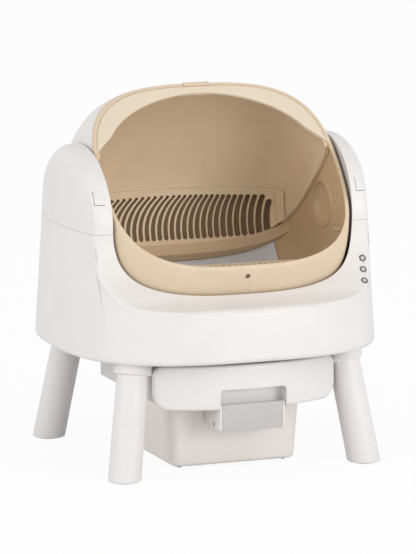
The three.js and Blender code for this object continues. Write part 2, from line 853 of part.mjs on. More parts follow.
gearmotor = gearmotor.subtract(
  bar(
    point(gearStart, 0, pinionHeight), point(shaftEnd + seatGap, 0, pinionHeight),
    shaftRadius + seatGap, undefined, 20,
  ),
);
add("gearmotor", gearmotor, metal);

// A toothed wheel about X: the middle of its first tooth points at an angle from +Y towards +Z.
function toothedWheel(teeth, x0, x1, firstDeg) {
  const pitch = (toothModule * teeth) / 2;
  const tip = pitch + toothModule;
  const rootRadius = pitch - toothModule * (5 / 4);
  const step = (Math.PI * 2) / teeth;
  const first = THREE.MathUtils.degToRad(firstDeg);
  const outline = [];
  for (let i = 0; i < teeth; i += 1) {
    const middle = first + i * step;
    const corners = [
      [rootRadius, -toothRootShare], [tip, -toothTipShare],
      [tip, toothTipShare], [rootRadius, toothRootShare],
    ];
    for (const [radius, share] of corners) {
      const turn = middle + (share * step) / 2;
      outline.push(new THREE.Vector2(radius * Math.cos(turn), radius * Math.sin(turn)));
    }
  }
  return prismX(new THREE.Shape(outline), x0, x1);
}

const pinion = toothedWheel(pinionTeeth, gearStart, gearStart + pinionWidth, 90 + 180 / pinionTeeth)
  .add(bar(point(bracketInner + shaftReach / 2, 0, 0), point(shaftEnd, 0, 0), shaftRadius, undefined, 20))
  .translate([0, 0, pinionHeight]);
add("pinion", pinion, metal);

// Drum bowl: wall, lip, rear sill, hubs with a dish on their inner side, and a peg on either side

const drumOuter = barrel(drumRadius, drumHalfWidth);
const drumInner = barrel(drumRadius - drumWall, drumHalfWidth - drumWall);
const slab = (h0, h1, t0, t1) => box(-far, far, t0, t1, h0, h1);
const bowlTop = splitOffset - halfGap;

const lipRing = slab(mouthOffset - lipDepth, far, -far, far)
  .subtract(barrel(drumRadius - lipWidth, drumHalfWidth - lipWidth));
const sillBlock = slab(-far, 0, bowlTop - sillHeight, far).subtract(barrel(sillRadius, sillHalfWidth));
let bowl = drumOuter.intersect(slab(-far, mouthOffset, -far, bowlTop))
  .subtract(drumInner.subtract(lipRing).subtract(sillBlock));
for (const side of [-1, 1]) {
  bowl = bowl.add(
    bar(point(side * hubInset, 0, 0), point(side * hubReach, 0, 0), hubRadius, undefined, 32),
  );
  const dish = new THREE.SphereGeometry(dishRadius, 24, 10).rotateZ(Math.PI / 2);
  dish.scale(dishDepth / dishRadius, 1, 1).translate(side * hubInset, 0, 0);
  bowl = bowl.subtract(solid(dish));
  bowl = bowl.subtract(
    bar(
      point(side * (hubReach - hubHollowDepth), 0, 0), point(side * (hubReach + overrun), 0, 0),
      hubHollowRadius, undefined, 24,
    ),
  );
  bowl = bowl.add(
    bar(
      pointInDrum(side * pegStart, -pegDepth, -pegDrop), pointInDrum(side * pegEnd, -pegDepth, -pegDrop),
      pegRadius, undefined, 12,
    ),
  );
}
const screwTurn = THREE.MathUtils.degToRad(lipScrewDeg);
const screwPoint = (radius) => pointInDrum(0, radius * Math.cos(screwTurn), radius * Math.sin(screwTurn));
const screwBar = (from, to, radius) => bar(screwPoint(from), screwPoint(to), radius, undefined, 16);
const screwHole = screwBar(lipScrewInner - seatGap, drumRadius + overrun, lipScrewShankRadius + seatGap)
  .add(screwBar(lipScrewSeat, drumRadius + overrun, lipScrewRadius + seatGap));
add("drum_bowl", bowl.subtract(screwHole), tan, drumGroup);
const lipScrew = screwBar(lipScrewInner, lipScrewSeat + seatGap * 2, lipScrewShankRadius)
  .add(screwBar(lipScrewSeat + seatGap, lipScrewFace, lipScrewRadius));
add("lip_screw", lipScrew, metal, drumGroup);

const drumGear = toothedWheel(gearTeeth, gearStart, gearEnd, -90)
  .subtract(bar(point(0, 0, 0), point(far, 0, 0), hubRadius + seatGap, undefined, 32));
add("drum_gear", intoDrumFrame(drumGear), grey, drumGroup);

// Hood: outer shell, inner liner with the sieve in its back, visor frame and clip

const visorBottom = mouthOffset - visorThickness;
const hoodSide = slab(-far, visorBottom - seatGap, splitOffset + halfGap, far);
add("hood_shell", drumOuter.subtract(drumInner).intersect(hoodSide), warmWhite, drumGroup);

const visorCut = new THREE.Shape();
const archHalf = visorShoulderHalfWidth;
const archRise = visorCrown - visorShoulderHeight;
const archRadius = (archHalf * archHalf + archRise * archRise) / (2 * archRise);
const archTurn = Math.asin(archHalf / archRadius);
visorCut.moveTo(-visorTipHalfWidth, 0);
visorCut.lineTo(visorTipHalfWidth, 0);
visorCut.lineTo(visorTipHalfWidth, visorTipHeight);
visorCut.lineTo(visorEaveHalfWidth, visorEaveHeight);
visorCut.quadraticCurveTo(
  (visorEaveHalfWidth + archHalf) / 2 + (visorShoulderHeight - visorEaveHeight) / 8,
  (visorEaveHeight + visorShoulderHeight) / 2 + (visorEaveHalfWidth - archHalf) / 12,
  archHalf, visorShoulderHeight,
);
visorCut.absarc(
  0, visorCrown - archRadius, archRadius, Math.PI / 2 - archTurn, Math.PI / 2 + archTurn, false,
);
visorCut.quadraticCurveTo(
  -(visorEaveHalfWidth + archHalf) / 2 - (visorShoulderHeight - visorEaveHeight) / 8,
  (visorEaveHeight + visorShoulderHeight) / 2 + (visorEaveHalfWidth - archHalf) / 12,
  -visorEaveHalfWidth, visorEaveHeight,
);
visorCut.lineTo(-visorTipHalfWidth, visorTipHeight);
const visor = drumOuter
  .intersect(slab(visorBottom, mouthOffset, splitOffset + halfGap, far))
  .subtract(prismZ(new THREE.Shape(visorCut.getPoints(10)), 0, far))
  .subtract(
    box(-clipHalfWidth - seatGap, clipHalfWidth + seatGap, clipBottom - seatGap, far, 0, far),
  );
add("visor_frame", visor, paleTan, drumGroup);
add(
  "hood_clip",
  box(-clipHalfWidth, clipHalfWidth, clipBottom, clipTop, visorBottom, visorBottom + clipDepth),
  tan, drumGroup,
);

const sieveTop = sieveTopDeg - mouthTurnDeg;
const sieveBottom = sieveBottomDeg - mouthTurnDeg;
const linerSkin = barrel(linerRadius, linerHalfWidth)
  .subtract(barrel(linerRadius - linerWall, linerHalfWidth - linerWall));
const linerTopSide = slab(-far, visorBottom - seatGap, splitOffset + halfGap, far);
const sieveGap = seatGap / linerRadius;
const sieveWindow = sector(
  sieveBottom - sieveOverrunDeg, sieveTop + THREE.MathUtils.radToDeg(sieveGap), linerRadius / 2, far,
  sieveHalfWidth + seatGap,
);
add("hood_liner", linerSkin.intersect(linerTopSide).subtract(sieveWindow), tan, drumGroup);

const sieveMiddle = THREE.MathUtils.degToRad((sieveTop + sieveBottom) / 2);
const sieveOut = point(0, Math.cos(sieveMiddle), Math.sin(sieveMiddle));
const sieveUp = point(0, -Math.sin(sieveMiddle), Math.cos(sieveMiddle));
const sieveBasis = new THREE.Matrix4().makeBasis(point(1, 0, 0), sieveUp, sieveOut.clone().negate());
const sieveSector = sector(sieveBottom - sieveOverrunDeg, sieveTop, linerRadius / 2, far, sieveHalfWidth);
const sieveFrameSkin = barrel(linerRadius, linerHalfWidth)
  .subtract(
    barrel(linerRadius - linerWall - sieveFrameRise, linerHalfWidth - linerWall - sieveFrameRise),
  )
  .subtract(box(sieveFrameWidth - sieveHalfWidth, sieveHalfWidth - sieveFrameWidth, -far, far, -far, far));
let sieve = linerSkin.add(sieveFrameSkin).intersect(linerTopSide).intersect(sieveSector);
const slotEnd = sieveSlotHalfHeight;
const slotShares = [0, 1 / 2, 1];
const slotMiddleCount = (sieveSlotCount - 1) / 2;
for (let i = -slotMiddleCount; i <= slotMiddleCount; i += 1) {
  const side = (sign) => slotShares.map((share) => {
    const half = (sieveSlotWidth / 2) * (1 - sieveNarrowShare * share);
    const lean = (share + share * share) / 2;
    const x = i * sieveSlotPitch * (1 - sieveLeanShare * lean) + sign * half;
    const rounded = share === 1 ? half : 0;
    return new THREE.Vector2(x, -slotEnd + share * 2 * slotEnd - rounded);
  });
  const tip = new THREE.Vector2(i * sieveSlotPitch * (1 - sieveLeanShare), slotEnd);
  const outline = new THREE.Shape([...side(1), tip, ...side(-1).reverse()]);
  const slot = new THREE.ExtrudeGeometry(outline, { depth: overrun * 2, bevelEnabled: false });
  slot.applyMatrix4(sieveBasis);
  const away = sieveOut.clone().multiplyScalar(linerRadius + overrun / 3);
  sieve = sieve.subtract(solid(slot.translate(away.x, away.y, away.z)));
}
add("sieve_grille", sieve, tan, drumGroup);

// Floor liner and front step

const linerBed = barrel(drumRadius - drumWall - seatGap, drumHalfWidth - drumWall - seatGap);
const bedTop = barrel(
  drumRadius - drumWall - seatGap - floorLinerThickness,
  drumHalfWidth - drumWall - seatGap - floorLinerThickness,
);
const floorLiner = linerBed.subtract(bedTop)
  .intersect(
    sector(
      floorLinerFrontDeg - mouthTurnDeg, floorLinerRearDeg - mouthTurnDeg,
      drumRadius / 2, far, floorLinerHalfWidth,
    ),
  )
  .intersect(slab(-far, far, -far, bowlTop - sillHeight - seatGap));
add("floor_liner", floorLiner, linerWhite, drumGroup);

const stepTop = -stepDrop;
const stepBottom = stepTop - stepThickness;
let step = box(-stepHalfWidth, stepHalfWidth, -far, -stepRear, stepBottom, stepTop);
const webOutline = new THREE.Shape();
webOutline.moveTo(-far, stepBottom - stepWebDrop);
webOutline.lineTo(-stepBossDepth - stepWebDrop / 4, stepBottom - stepWebDrop);
webOutline.lineTo(-stepWebRear, stepTop);
webOutline.lineTo(-far, stepTop);
step = step
  .add(prismX(webOutline, -stepWebX - stepThickness, -stepWebX))
  .add(prismX(webOutline, stepWebX, stepWebX + stepThickness))
  .add(
    box(-stepBossHalfWidth, stepBossHalfWidth, -far, -stepBossDepth, stepBottom - stepBossDrop, stepTop),
  );
const slotsAcross = (stepSlotCount - 1) / 2;
for (let i = -slotsAcross; i <= slotsAcross; i += 1) {
  const middle = i * stepSlotPitch;
  const front = Math.abs(middle) < stepBossHalfWidth * 2 ? stepBossDepth - stepSlotWidth : stepSlotFront;
  step = step.subtract(
    box(
      middle - stepSlotWidth / 2, middle + stepSlotWidth / 2, -front, -stepSlotRear,
      stepBottom - stepThickness, stepTop + stepThickness,
    ),
  );
}
add("front_step", intoDrumFrame(step).intersect(linerBed).subtract(screwHole), tan, drumGroup);

// Drawer: frame on the runners, curved fascia with a finger notch, and the bin

const frameBottom = housingBottom + runnerThickness + seatGap * 2;
const frameTop = frameBottom + frameThickness;
const frameHalfWidth = housingInner - frameSideGap;
const arcSpan = fasciaFront - fasciaEnd;
const arcRadius = (fasciaHalfWidth * fasciaHalfWidth + arcSpan * arcSpan) / (2 * arcSpan);

function fasciaForm(inset, rear) {
  const radius = arcRadius - inset;
  const centre = -fasciaFront + arcRadius;
  const turn = Math.asin((fasciaHalfWidth - inset) / radius);
  const plan = new THREE.Shape();
  plan.moveTo(fasciaHalfWidth - inset, rear);
  plan.lineTo(-fasciaHalfWidth + inset, rear);
  plan.absarc(0, centre, radius, -Math.PI / 2 - turn, -Math.PI / 2 + turn, false);
  const low = fasciaBottom + inset;
  const high = fasciaTop - inset;
  const side = fasciaHalfWidth - inset;
  const lowRadius = fasciaLowerCorner - inset;
  const highRadius = fasciaUpperCorner - inset;
  const front = new THREE.Shape();
  front.moveTo(-side + lowRadius, low);
  front.lineTo(side - lowRadius, low);
  front.absarc(side - lowRadius, low + lowRadius, lowRadius, -Math.PI / 2, 0, false);
  front.absarc(side - highRadius, high - highRadius, highRadius, 0, Math.PI / 2, false);
  front.absarc(-side + highRadius, high - highRadius, highRadius, Math.PI / 2, Math.PI, false);
  front.absarc(-side + lowRadius, low + lowRadius, lowRadius, Math.PI, (Math.PI * 3) / 2, false);
  return prismZ(new THREE.Shape(plan.getPoints(14)), fasciaBottom - overrun, fasciaTop + overrun)
    .intersect(prismY(new THREE.Shape(front.getPoints(5)), -fasciaFront - overrun, rear));
}

const notchCutOutline = new THREE.Shape();
notchCutOutline.moveTo(-notchHalfWidth, fasciaBottom - overrun);
notchCutOutline.lineTo(notchHalfWidth, fasciaBottom - overrun);
notchCutOutline.lineTo(notchHalfWidth, notchTop - notchCorner);
notchCutOutline.absarc(
  notchHalfWidth - notchCorner, notchTop - notchCorner, notchCorner, 0, Math.PI / 2, false,
);
notchCutOutline.absarc(
  -notchHalfWidth + notchCorner, notchTop - notchCorner, notchCorner, Math.PI / 2, Math.PI, false,
);
const notchCut = prismY(
  new THREE.Shape(notchCutOutline.getPoints(4)), -fasciaFront - overrun, -notchDepth,
);
const notchOuter = notchHalfWidth + notchWall;
const notchBox = box(
  -notchOuter, notchOuter, -fasciaFront, -notchDepth + notchWall, fasciaBottom, notchTop + notchWall,
).intersect(fasciaForm(0, -fasciaRear + overrun));
const fascia = fasciaForm(0, -fasciaRear)
  .subtract(fasciaForm(fasciaWall, -fasciaRear + overrun))
  .add(notchBox)
  .subtract(notchCut);
add("drawer_fascia", fascia, warmWhite);

const frame = box(-frameHalfWidth, frameHalfWidth, -fasciaFront, frameRear, frameBottom, frameTop)
  .subtract(
    box(
      -openingHalfWidth, openingHalfWidth, binFront - binWall, binRear + binWall,
      frameBottom - overrun, frameTop + overrun,
    ),
  )
  .subtract(
    box(
      -notchOuter - seatGap, notchOuter + seatGap, -fasciaFront - overrun,
      -notchDepth + notchWall + seatGap, frameBottom - overrun, frameTop + overrun,
    ),
  )
  .intersect(fasciaForm(fasciaWall + seatGap, frameRear + overrun));
add("drawer_frame", frame, warmWhite);

// A tub form: a rounded rectangle that narrows towards the bottom
function tub(inset, bottom, top) {
  const cornerRadius = binCornerRadius - inset;
  const outline = roundedOutline(
    -binHalfWidth + inset, binHalfWidth - inset, binFront + inset, binRear - inset, cornerRadius,
  );
  const geometry = new THREE.ExtrudeGeometry(outline, { depth: top - bottom, bevelEnabled: false });
  geometry.translate(0, 0, bottom);
  const at = geometry.attributes.position;
  const binTop = frameTop + seatGap;
  for (let i = 0; i < at.count; i += 1) {
    const share = (binTop - at.getZ(i)) / (binTop - binBottom);
    const narrowX = THREE.MathUtils.lerp(1, binFootHalfWidth / binHalfWidth, share);
    const middleY = (binFront + binRear) / 2;
    const narrowY = THREE.MathUtils.lerp(1, (binFootRear - binFootFront) / (binRear - binFront), share);
    at.setX(i, at.getX(i) * narrowX);
    at.setY(i, middleY + (at.getY(i) - middleY) * narrowY);
  }
  return solid(geometry);
}

const binTop = frameTop + seatGap;
const rimTop = binTop + binFlangeThickness;
const flange = prismZ(
  roundedOutline(
    -binHalfWidth - binFlange, binHalfWidth + binFlange, binFront - binFlange, binRear + binFlange,
    binCornerRadius + binFlange,
  ),
  binTop, rimTop,
);
const binFeet = [-1, 1].map((side) => {
  const low = point(
    side * (binFootHalfWidth - binCornerRadius), binFootFront + binCornerRadius, binFootStand,
  );
  return [low, low.clone().setZ(binBottom + binWall / 2)];
});
let bin = tub(0, binBottom, binTop + halfGap)
  .add(flange)
  .subtract(tub(binWall, binBottom + binWall, rimTop + overrun));
for (const [low, high] of binFeet) {
  bin = bin.subtract(bar(low, high, binFootRadius + seatGap, undefined, 16));
}
add("waste_bin", bin, warmWhite);
["left_bin_foot", "right_bin_foot"].forEach((name, i) => {
  const [low, high] = binFeet[i];
  add(name, bar(low, high.clone().setZ(high.z - seatGap), binFootRadius, undefined, 16), darkGrey);
});

// Handle: a bracket on the bin's front, a pin, and a frame with a plate that tips on the pin

const pinAt = (x) => point(x, -pinDepth, pinHeight);
const pinBore = bar(pinAt(-far), pinAt(far), pinRadius + seatGap, undefined, 16);
const binSkin = tub(-seatGap, binBottom, binTop);
let bracket = box(
  -earOuter, earOuter, binFront - bracketPlateDepth, binFront + overrun,
  pinHeight - earRadius, bracketPlateTop,
);
for (const side of [-1, 1]) {
  const inner = side * (earOuter - earThickness);
  bracket = bracket
    .add(
      box(
        Math.min(inner, side * earOuter), Math.max(inner, side * earOuter),
        -pinDepth, binFront, pinHeight - earRadius, pinHeight + earRadius,
      ),
    )
    .add(bar(pinAt(Math.min(inner, side * earOuter)), pinAt(Math.max(inner, side * earOuter)), earRadius));
}
add("handle_bracket", bracket.subtract(binSkin).subtract(pinBore), warmWhite);
add("handle_pin", bar(pinAt(-pinHalfLength), pinAt(pinHalfLength), pinRadius, undefined, 16), metal);

const cheekOutline = new THREE.Shape();
cheekOutline.moveTo(-handleFront, cheekBottom);
cheekOutline.lineTo(-cheekRear, cheekBottom);
cheekOutline.lineTo(-cheekRear, cheekRearTop);
cheekOutline.lineTo(-cheekBendDepth, cheekBendHeight);
cheekOutline.lineTo(-cheekTopDepth, plateTop);
cheekOutline.lineTo(-handleFront, plateTop);
const cheekInner = handleHalfWidth + seatGap;
const plateBack = -handleFront + plateThickness;
const handleFrame = prismX(cheekOutline, -cheekInner - handleWall, -cheekInner)
  .add(prismX(cheekOutline, cheekInner, cheekInner + handleWall))
  .add(
    box(
      -cheekInner - handleWall, cheekInner + handleWall,
      plateBack + seatGap, plateBack + seatGap + handleWall, cheekBottom, plateTop,
    ),
  )
  .subtract(pinBore);
add("handle_frame", handleFrame, warmWhite);
add(
  "handle_plate",
  box(-handleHalfWidth, handleHalfWidth, -handleFront, plateBack, plateBottom, plateTop),
  grey,
);

export default root;
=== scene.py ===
import math

import bpy
import numpy as np
from mathutils import Matrix, Vector


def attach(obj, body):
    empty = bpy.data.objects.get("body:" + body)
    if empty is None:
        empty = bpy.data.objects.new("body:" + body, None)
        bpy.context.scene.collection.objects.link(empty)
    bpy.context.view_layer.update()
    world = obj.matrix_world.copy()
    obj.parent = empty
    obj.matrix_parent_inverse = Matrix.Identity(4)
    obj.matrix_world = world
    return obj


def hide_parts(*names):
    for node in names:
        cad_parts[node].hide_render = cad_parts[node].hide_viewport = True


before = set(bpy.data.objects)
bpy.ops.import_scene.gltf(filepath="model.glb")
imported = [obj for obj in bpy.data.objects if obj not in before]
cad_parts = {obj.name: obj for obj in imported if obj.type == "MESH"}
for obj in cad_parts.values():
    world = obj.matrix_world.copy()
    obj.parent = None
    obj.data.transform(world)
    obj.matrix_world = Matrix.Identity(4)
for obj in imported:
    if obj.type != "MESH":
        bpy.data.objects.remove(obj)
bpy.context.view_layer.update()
print("frame loaded:", len(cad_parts), "nodes")

# places and fits that several pieces share, metres
axisHeight = 0.438
drumCentre = Vector((0, 0, axisHeight))
mouthTurn = math.radians(48.8)  # how far the drum's mouth is tipped forward
mouthMatrix = Matrix.Translation(drumCentre) @ Matrix.Rotation(mouthTurn, 4, "X")
seatGap = 0.0003
overlap = 0.001  # how deep a fused piece reaches into its wall
near, far, above = 0.1, 0.4, 0.9  # cuts run from or to here
weld = 0.000002
touch = 0.0001
smoothAngle = math.radians(35)
facing = 0.99  # a normal this close to a direction counts as facing that way


# small tools for the hand-made meshes
def deselectAll():
    if bpy.context.object and bpy.context.object.mode != "OBJECT":
        bpy.ops.object.mode_set(mode="OBJECT")
    bpy.ops.object.select_all(action="DESELECT")


def pick(piece):
    deselectAll()
    piece.select_set(True)
    bpy.context.view_layer.objects.active = piece


def named(name):
    piece = bpy.context.object
    piece.name = name
    piece.data.name = name
    piece.data.materials.clear()
    return piece


def startEditing(kind):
    bpy.context.tool_settings.mesh_select_mode = [kind == each for each in ("VERT", "EDGE", "FACE")]
    bpy.ops.object.mode_set(mode="EDIT")


def doneEditing():
    bpy.ops.object.mode_set(mode="OBJECT")


def choose(piece, test, kind):  # enters edit mode with what the test picks
    pick(piece)
    mesh = piece.data
    for group in (mesh.vertices, mesh.edges, mesh.polygons):
        group.foreach_set("select", [False] * len(group))
    if kind == "FACE":
        for face in mesh.polygons:
            face.select = test(face.center, face.normal)
    elif kind == "EDGE":
        for edge in mesh.edges:
            edge.select = test(*(mesh.vertices[i].co for i in edge.vertices))
    else:
        for vert in mesh.vertices:
            vert.select = test(vert.co)
    startEditing(kind)


def chooseAll(piece):
    pick(piece)
    startEditing("FACE")
    bpy.ops.mesh.select_all(action="SELECT")


def tidyMesh(piece):
    chooseAll(piece)
    bpy.ops.mesh.remove_doubles(threshold=weld)
    bpy.ops.mesh.normals_make_consistent(inside=False)
    doneEditing()


def applied(piece, kind, **settings):
    pick(piece)
    modifier = piece.modifiers.new(kind.lower(), kind)
    for key, value in settings.items():
        setattr(modifier, key, value)
    bpy.ops.object.modifier_apply(modifier=modifier.name)
    return piece


def carve(piece, *tools, how="DIFFERENCE"):
    for tool in tools:
        applied(piece, "BOOLEAN", operation=how, object=tool, solver="MANIFOLD")
        bpy.data.objects.remove(tool, do_unlink=True)
    return piece


def fuse(piece, *tools):
    return carve(piece, *tools, how="UNION")


def keepInside(piece, tool):
    return carve(piece, tool, how="INTERSECT")


def roundEdges(piece, width, segments=3, angle=32):
    return applied(
        piece, "BEVEL", width=width, segments=segments, limit_method="ANGLE",
        angle_limit=math.radians(angle), use_clamp_overlap=True, harden_normals=False,
    )


def bevelWhere(piece, test, width, segments=4):
    choose(piece, test, "EDGE")
    bpy.ops.mesh.bevel(
        offset=width, offset_type="OFFSET", segments=segments, affect="EDGES", clamp_overlap=True
    )
    doneEditing()


def cutPast(piece, point, normal):
    chooseAll(piece)
    bpy.ops.mesh.bisect(plane_co=point, plane_no=normal, use_fill=True, clear_outer=True)
    doneEditing()


def block(name, x0, x1, y0, y1, z0, z1):
    deselectAll()
    bpy.ops.mesh.primitive_cube_add(
        size=1, location=((x0 + x1) / 2, (y0 + y1) / 2, (z0 + z1) / 2),
        scale=(x1 - x0, y1 - y0, z1 - z0),
    )
    bpy.ops.object.transform_apply(location=True, rotation=True, scale=True)
    return named(name)


def wideBlock(name, half, *sides):  # as far to the left as to the right
    return block(name, -half, half, *sides)


def bar(name, start, end, radius, endRadius=None, sides=40):
    deselectAll()
    start, end = Vector(start), Vector(end)
    turn = (end - start).to_track_quat("Z", "Y").to_euler()
    bpy.ops.mesh.primitive_cone_add(
        vertices=sides, radius1=radius, radius2=radius if endRadius is None else endRadius,
        depth=(end - start).length, location=(start + end) / 2, rotation=turn,
    )
    bpy.ops.object.transform_apply(location=True, rotation=True, scale=True)
    return named(name)


def crossBar(name, x0, x1, y, z, radius, sides=40):
    return bar(name, (x0, y, z), (x1, y, z), radius, sides=sides)


def copyOf(piece, name, matrix=None):
    twin = piece.copy()
    twin.data = piece.data.copy()
    twin.name = name
    twin.data.name = name
    bpy.context.scene.collection.objects.link(twin)
    if matrix is not None:
        twin.data.transform(matrix)
    return twin


def setPoints(piece, points):
    piece.data.vertices.foreach_set("co", points.reshape(-1).astype(np.float32))
    piece.data.update()
    return piece


def loft(name, rings, endCaps=False):
    rings = np.concatenate([rings, rings[:, :1]], axis=1)  # the columns run round and meet
    rows, columns = rings.shape[:2]
    deselectAll()
    bpy.ops.mesh.primitive_grid_add(x_subdivisions=columns - 1, y_subdivisions=rows - 1, size=1)
    piece = setPoints(named(name), rings)
    tidyMesh(piece)
    if endCaps:
        choose(piece, lambda *_: False, "EDGE")
        bpy.ops.mesh.select_non_manifold()
        bpy.ops.mesh.fill_holes(sides=0)
        doneEditing()
        tidyMesh(piece)
    return piece


def joined(name, pieces):
    deselectAll()
    for piece in pieces:
        piece.select_set(True)
    bpy.context.view_layer.objects.active = pieces[0]
    bpy.ops.object.join()
    pieces[0].name = name
    return pieces[0]


def quarter(steps):  # a quarter round: share inwards and share down at each step
    turns = np.linspace(0, math.pi / 2, steps + 1)
    return [(1 - math.cos(turn), 1 - math.sin(turn)) for turn in turns]


def cornerArcs(corners, count):  # each corner: centre, radius, the turn at which it starts
    arcs = []
    for across, up, radius, start in corners:
        turns = np.linspace(start, start + math.pi / 2, count)
        arcs.append([(across + radius * math.cos(t), up + radius * math.sin(t)) for t in turns])
    return arcs


def eased(share):
    share = np.clip(share, 0, 1)
    return share * share * (3 - 2 * share)


def finished(piece, body, slotName, replaced, *finishNames):
    pick(piece)
    bpy.ops.object.shade_smooth_by_angle(angle=smoothAngle)
    while len(piece.data.materials) < len(finishNames):
        piece.data.materials.append(None)
    for i, finishName in enumerate(finishNames):
        piece.data.materials[i] = finishes[finishName]
    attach(piece, body)
    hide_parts(*replaced)
    return piece


# materials
class Value:  # a socket that can be calculated with
    def __init__(self, nodes, socket):
        self.nodes = nodes
        self.socket = socket

    def calc(self, operation, *items):
        return self.nodes.node("Math", {"operation": operation}, dict(enumerate(items)))

    def __add__(self, other):
        return self.calc("ADD", self, other)

    def __sub__(self, other):
        return self.calc("SUBTRACT", self, other)

    def __rsub__(self, other):
        return self.calc("SUBTRACT", other, self)

    def __mul__(self, other):
        return self.calc("MULTIPLY", self, other)

    __radd__ = __add__
    __rmul__ = __mul__

    def ramp(self, low, high):  # 0 below low, 1 above high, eased between
        inputs = {"Value": self, "From Min": low, "From Max": high}
        return self.nodes.node("MapRange", {"interpolation_type": "SMOOTHSTEP"}, inputs, "Result")


class Nodes:  # a node tree with one way to add a node
    def __init__(self, tree):
        self.tree = tree

    def put(self, socket, item):
        if isinstance(item, Value):
            self.tree.links.new(item.socket, socket)
        else:
            socket.default_value = item

    def node(self, kind, settings=None, inputs=None, output=0):
        node = self.tree.nodes.new("ShaderNode" + kind)
        for key, value in (settings or {}).items():
            setattr(node, key, value)
        for key, item in (inputs or {}).items():
            self.put(node.inputs[key], item)
        return Value(self, node.outputs[output])


class Finish(Nodes):
    def __init__(self, name):
        self.material = bpy.data.materials.new(name)
        self.material.use_nodes = True
        super().__init__(self.material.node_tree)
        self.shader = self.tree.nodes["Principled BSDF"]

    def noise(self, scale, detail=2.0, roughness=0.5):
        place = self.node("TexCoord", output="Object")
        inputs = {"Vector": place, "Scale": scale, "Detail": detail, "Roughness": roughness}
        return self.node("TexNoise", inputs=inputs)

    def mix(self, factor, first, second):  # sockets 0, 6, 7 and 2 are those of a colour mix
        return self.node("Mix", {"data_type": "RGBA"}, {0: factor, 6: first, 7: second}, 2)

    def bump(self, height, strength, distance):
        inputs = {"Height": height, "Strength": strength, "Distance": distance}
        return self.node("Bump", inputs=inputs)

    def wear(self, **inputs):
        for key, item in inputs.items():
            self.put(self.shader.inputs[key.replace("_", " ")], item)
        return self.material


def srgb(red, green, blue):
    def linear(level):
        level /= 255
        return level / 12.92 if level <= 0.04045 else ((level + 0.055) / 1.055) ** 2.4
    return (linear(red), linear(green), linear(blue), 1.0)


plastics = {  # moulded plastics: colour, how far it drifts, roughness, grain
    "whitePlastic": {"colour": (229, 226, 224), "drift": 0.02, "rough": 0.42, "grain": 0.10},
    "legPlastic": {"colour": (230, 226, 224), "drift": 0.02, "rough": 0.45, "grain": 0.10},
    "binPlastic": {"colour": (237, 231, 226), "drift": 0.025, "rough": 0.5, "grain": 0.15},
    "tanPlastic": {"colour": (222, 201, 175), "drift": 0.03, "rough": 0.5, "grain": 0.12},
    # the bowl's inside: a darker, more saturated copy of the tan, painted shade of the drum's
    # interior
    "bowlInsidePaintedShade": {"colour": (208, 181, 146), "drift": 0.03, "rough": 0.42, "grain": 0.12},
    # the hood liner and sieve: a lighter copy of the tan, painted light on the drum's back wall
    "hoodLinerTanPaintedLight": {"colour": (230, 207, 176), "drift": 0.03, "rough": 0.48, "grain": 0.12},
    # the hood shell's inner side: dark brown painted shade, so the gap between bowl and liner reads
    # as a dark line
    "hoodBackPaintedShade": {"colour": (140, 115, 86), "drift": 0.03, "rough": 0.6, "grain": 0.12},
    "paleTanPlastic": {"colour": (227, 211, 188), "drift": 0.02, "rough": 0.5, "grain": 0.10},
    "greyPlastic": {"colour": (196, 192, 192), "drift": 0.03, "rough": 0.35, "grain": 0.10},
    "darkPlastic": {"colour": (84, 85, 88), "drift": 0.06, "rough": 0.55, "grain": 0.2},
    "buttonRing": {"colour": (88, 86, 86), "drift": 0.04, "rough": 0.45, "grain": 0.1},
    "buttonFace": {"colour": (200, 197, 196), "drift": 0.03, "rough": 0.45, "grain": 0.1},
    "linerWhite": {"colour": (226, 230, 236), "drift": 0.04, "rough": 0.7, "grain": 0.5},
    "softRubber": {"colour": (150, 146, 141), "drift": 0.06, "rough": 0.85, "grain": 0.5},
    "boardGreen": {"colour": (54, 104, 72), "drift": 0.10, "rough": 0.5, "grain": 0.3},
}
moulding = {  # what all plastics share: scales of the noises, and how much each of them counts
    "cloudScale": 14, "grainScale": 1400, "flowScale": 55, "flowRough": 0.6, "cloudLow": 0.3,
    "cloudHigh": 0.7, "cloudShare": 0.6, "grainShare": 0.2, "flowShare": 0.35,
    "roughSpread": 0.12, "bumpHeight": 0.0002,
}
metals = {  # bright and dull
    "brushedSteel": ((196, 197, 200), (160, 161, 165)),
    "darkSteel": ((150, 138, 124), (120, 110, 98)),
}
brushing = {
    "fineScale": 900, "cloudScale": 40, "cloudLow": 0.35, "cloudHigh": 0.7, "rough": 0.32,
    "roughSpread": 0.15, "bump": 0.1, "bumpHeight": 0.0001,
}


def plastic(name):
    made, m = plastics[name], moulding
    finish = Finish(name)
    colour = srgb(*made["colour"])
    shade = tuple(level * (1 - made["drift"] * 2) for level in colour[:3]) + (1.0,)
    cloud = finish.noise(m["cloudScale"], 3).ramp(m["cloudLow"], m["cloudHigh"])
    grain = finish.noise(m["grainScale"])
    flow = finish.noise(m["flowScale"], 4, m["flowRough"])
    return finish.wear(
        Base_Color=finish.mix(cloud * m["cloudShare"] + grain * m["grainShare"], colour, shade),
        Roughness=(flow - 0.5) * m["roughSpread"] + made["rough"],
        Normal=finish.bump(grain + flow * m["flowShare"], made["grain"], m["bumpHeight"]),
    )


def brushedMetal(name):
    bright, dull = (srgb(*colour) for colour in metals[name])
    m = brushing
    finish = Finish(name)
    fine = finish.noise(m["fineScale"])
    cloud = finish.noise(m["cloudScale"], 3).ramp(m["cloudLow"], m["cloudHigh"])
    return finish.wear(
        Base_Color=finish.mix(cloud, bright, dull), Metallic=1.0,
        Roughness=(fine - 0.5) * m["roughSpread"] + m["rough"],
        Normal=finish.bump(fine, m["bump"], m["bumpHeight"]),
    )


finishes = {name: plastic(name) for name in plastics}
finishes.update({name: brushedMetal(name) for name in metals})
print("materials made:", len(finishes))


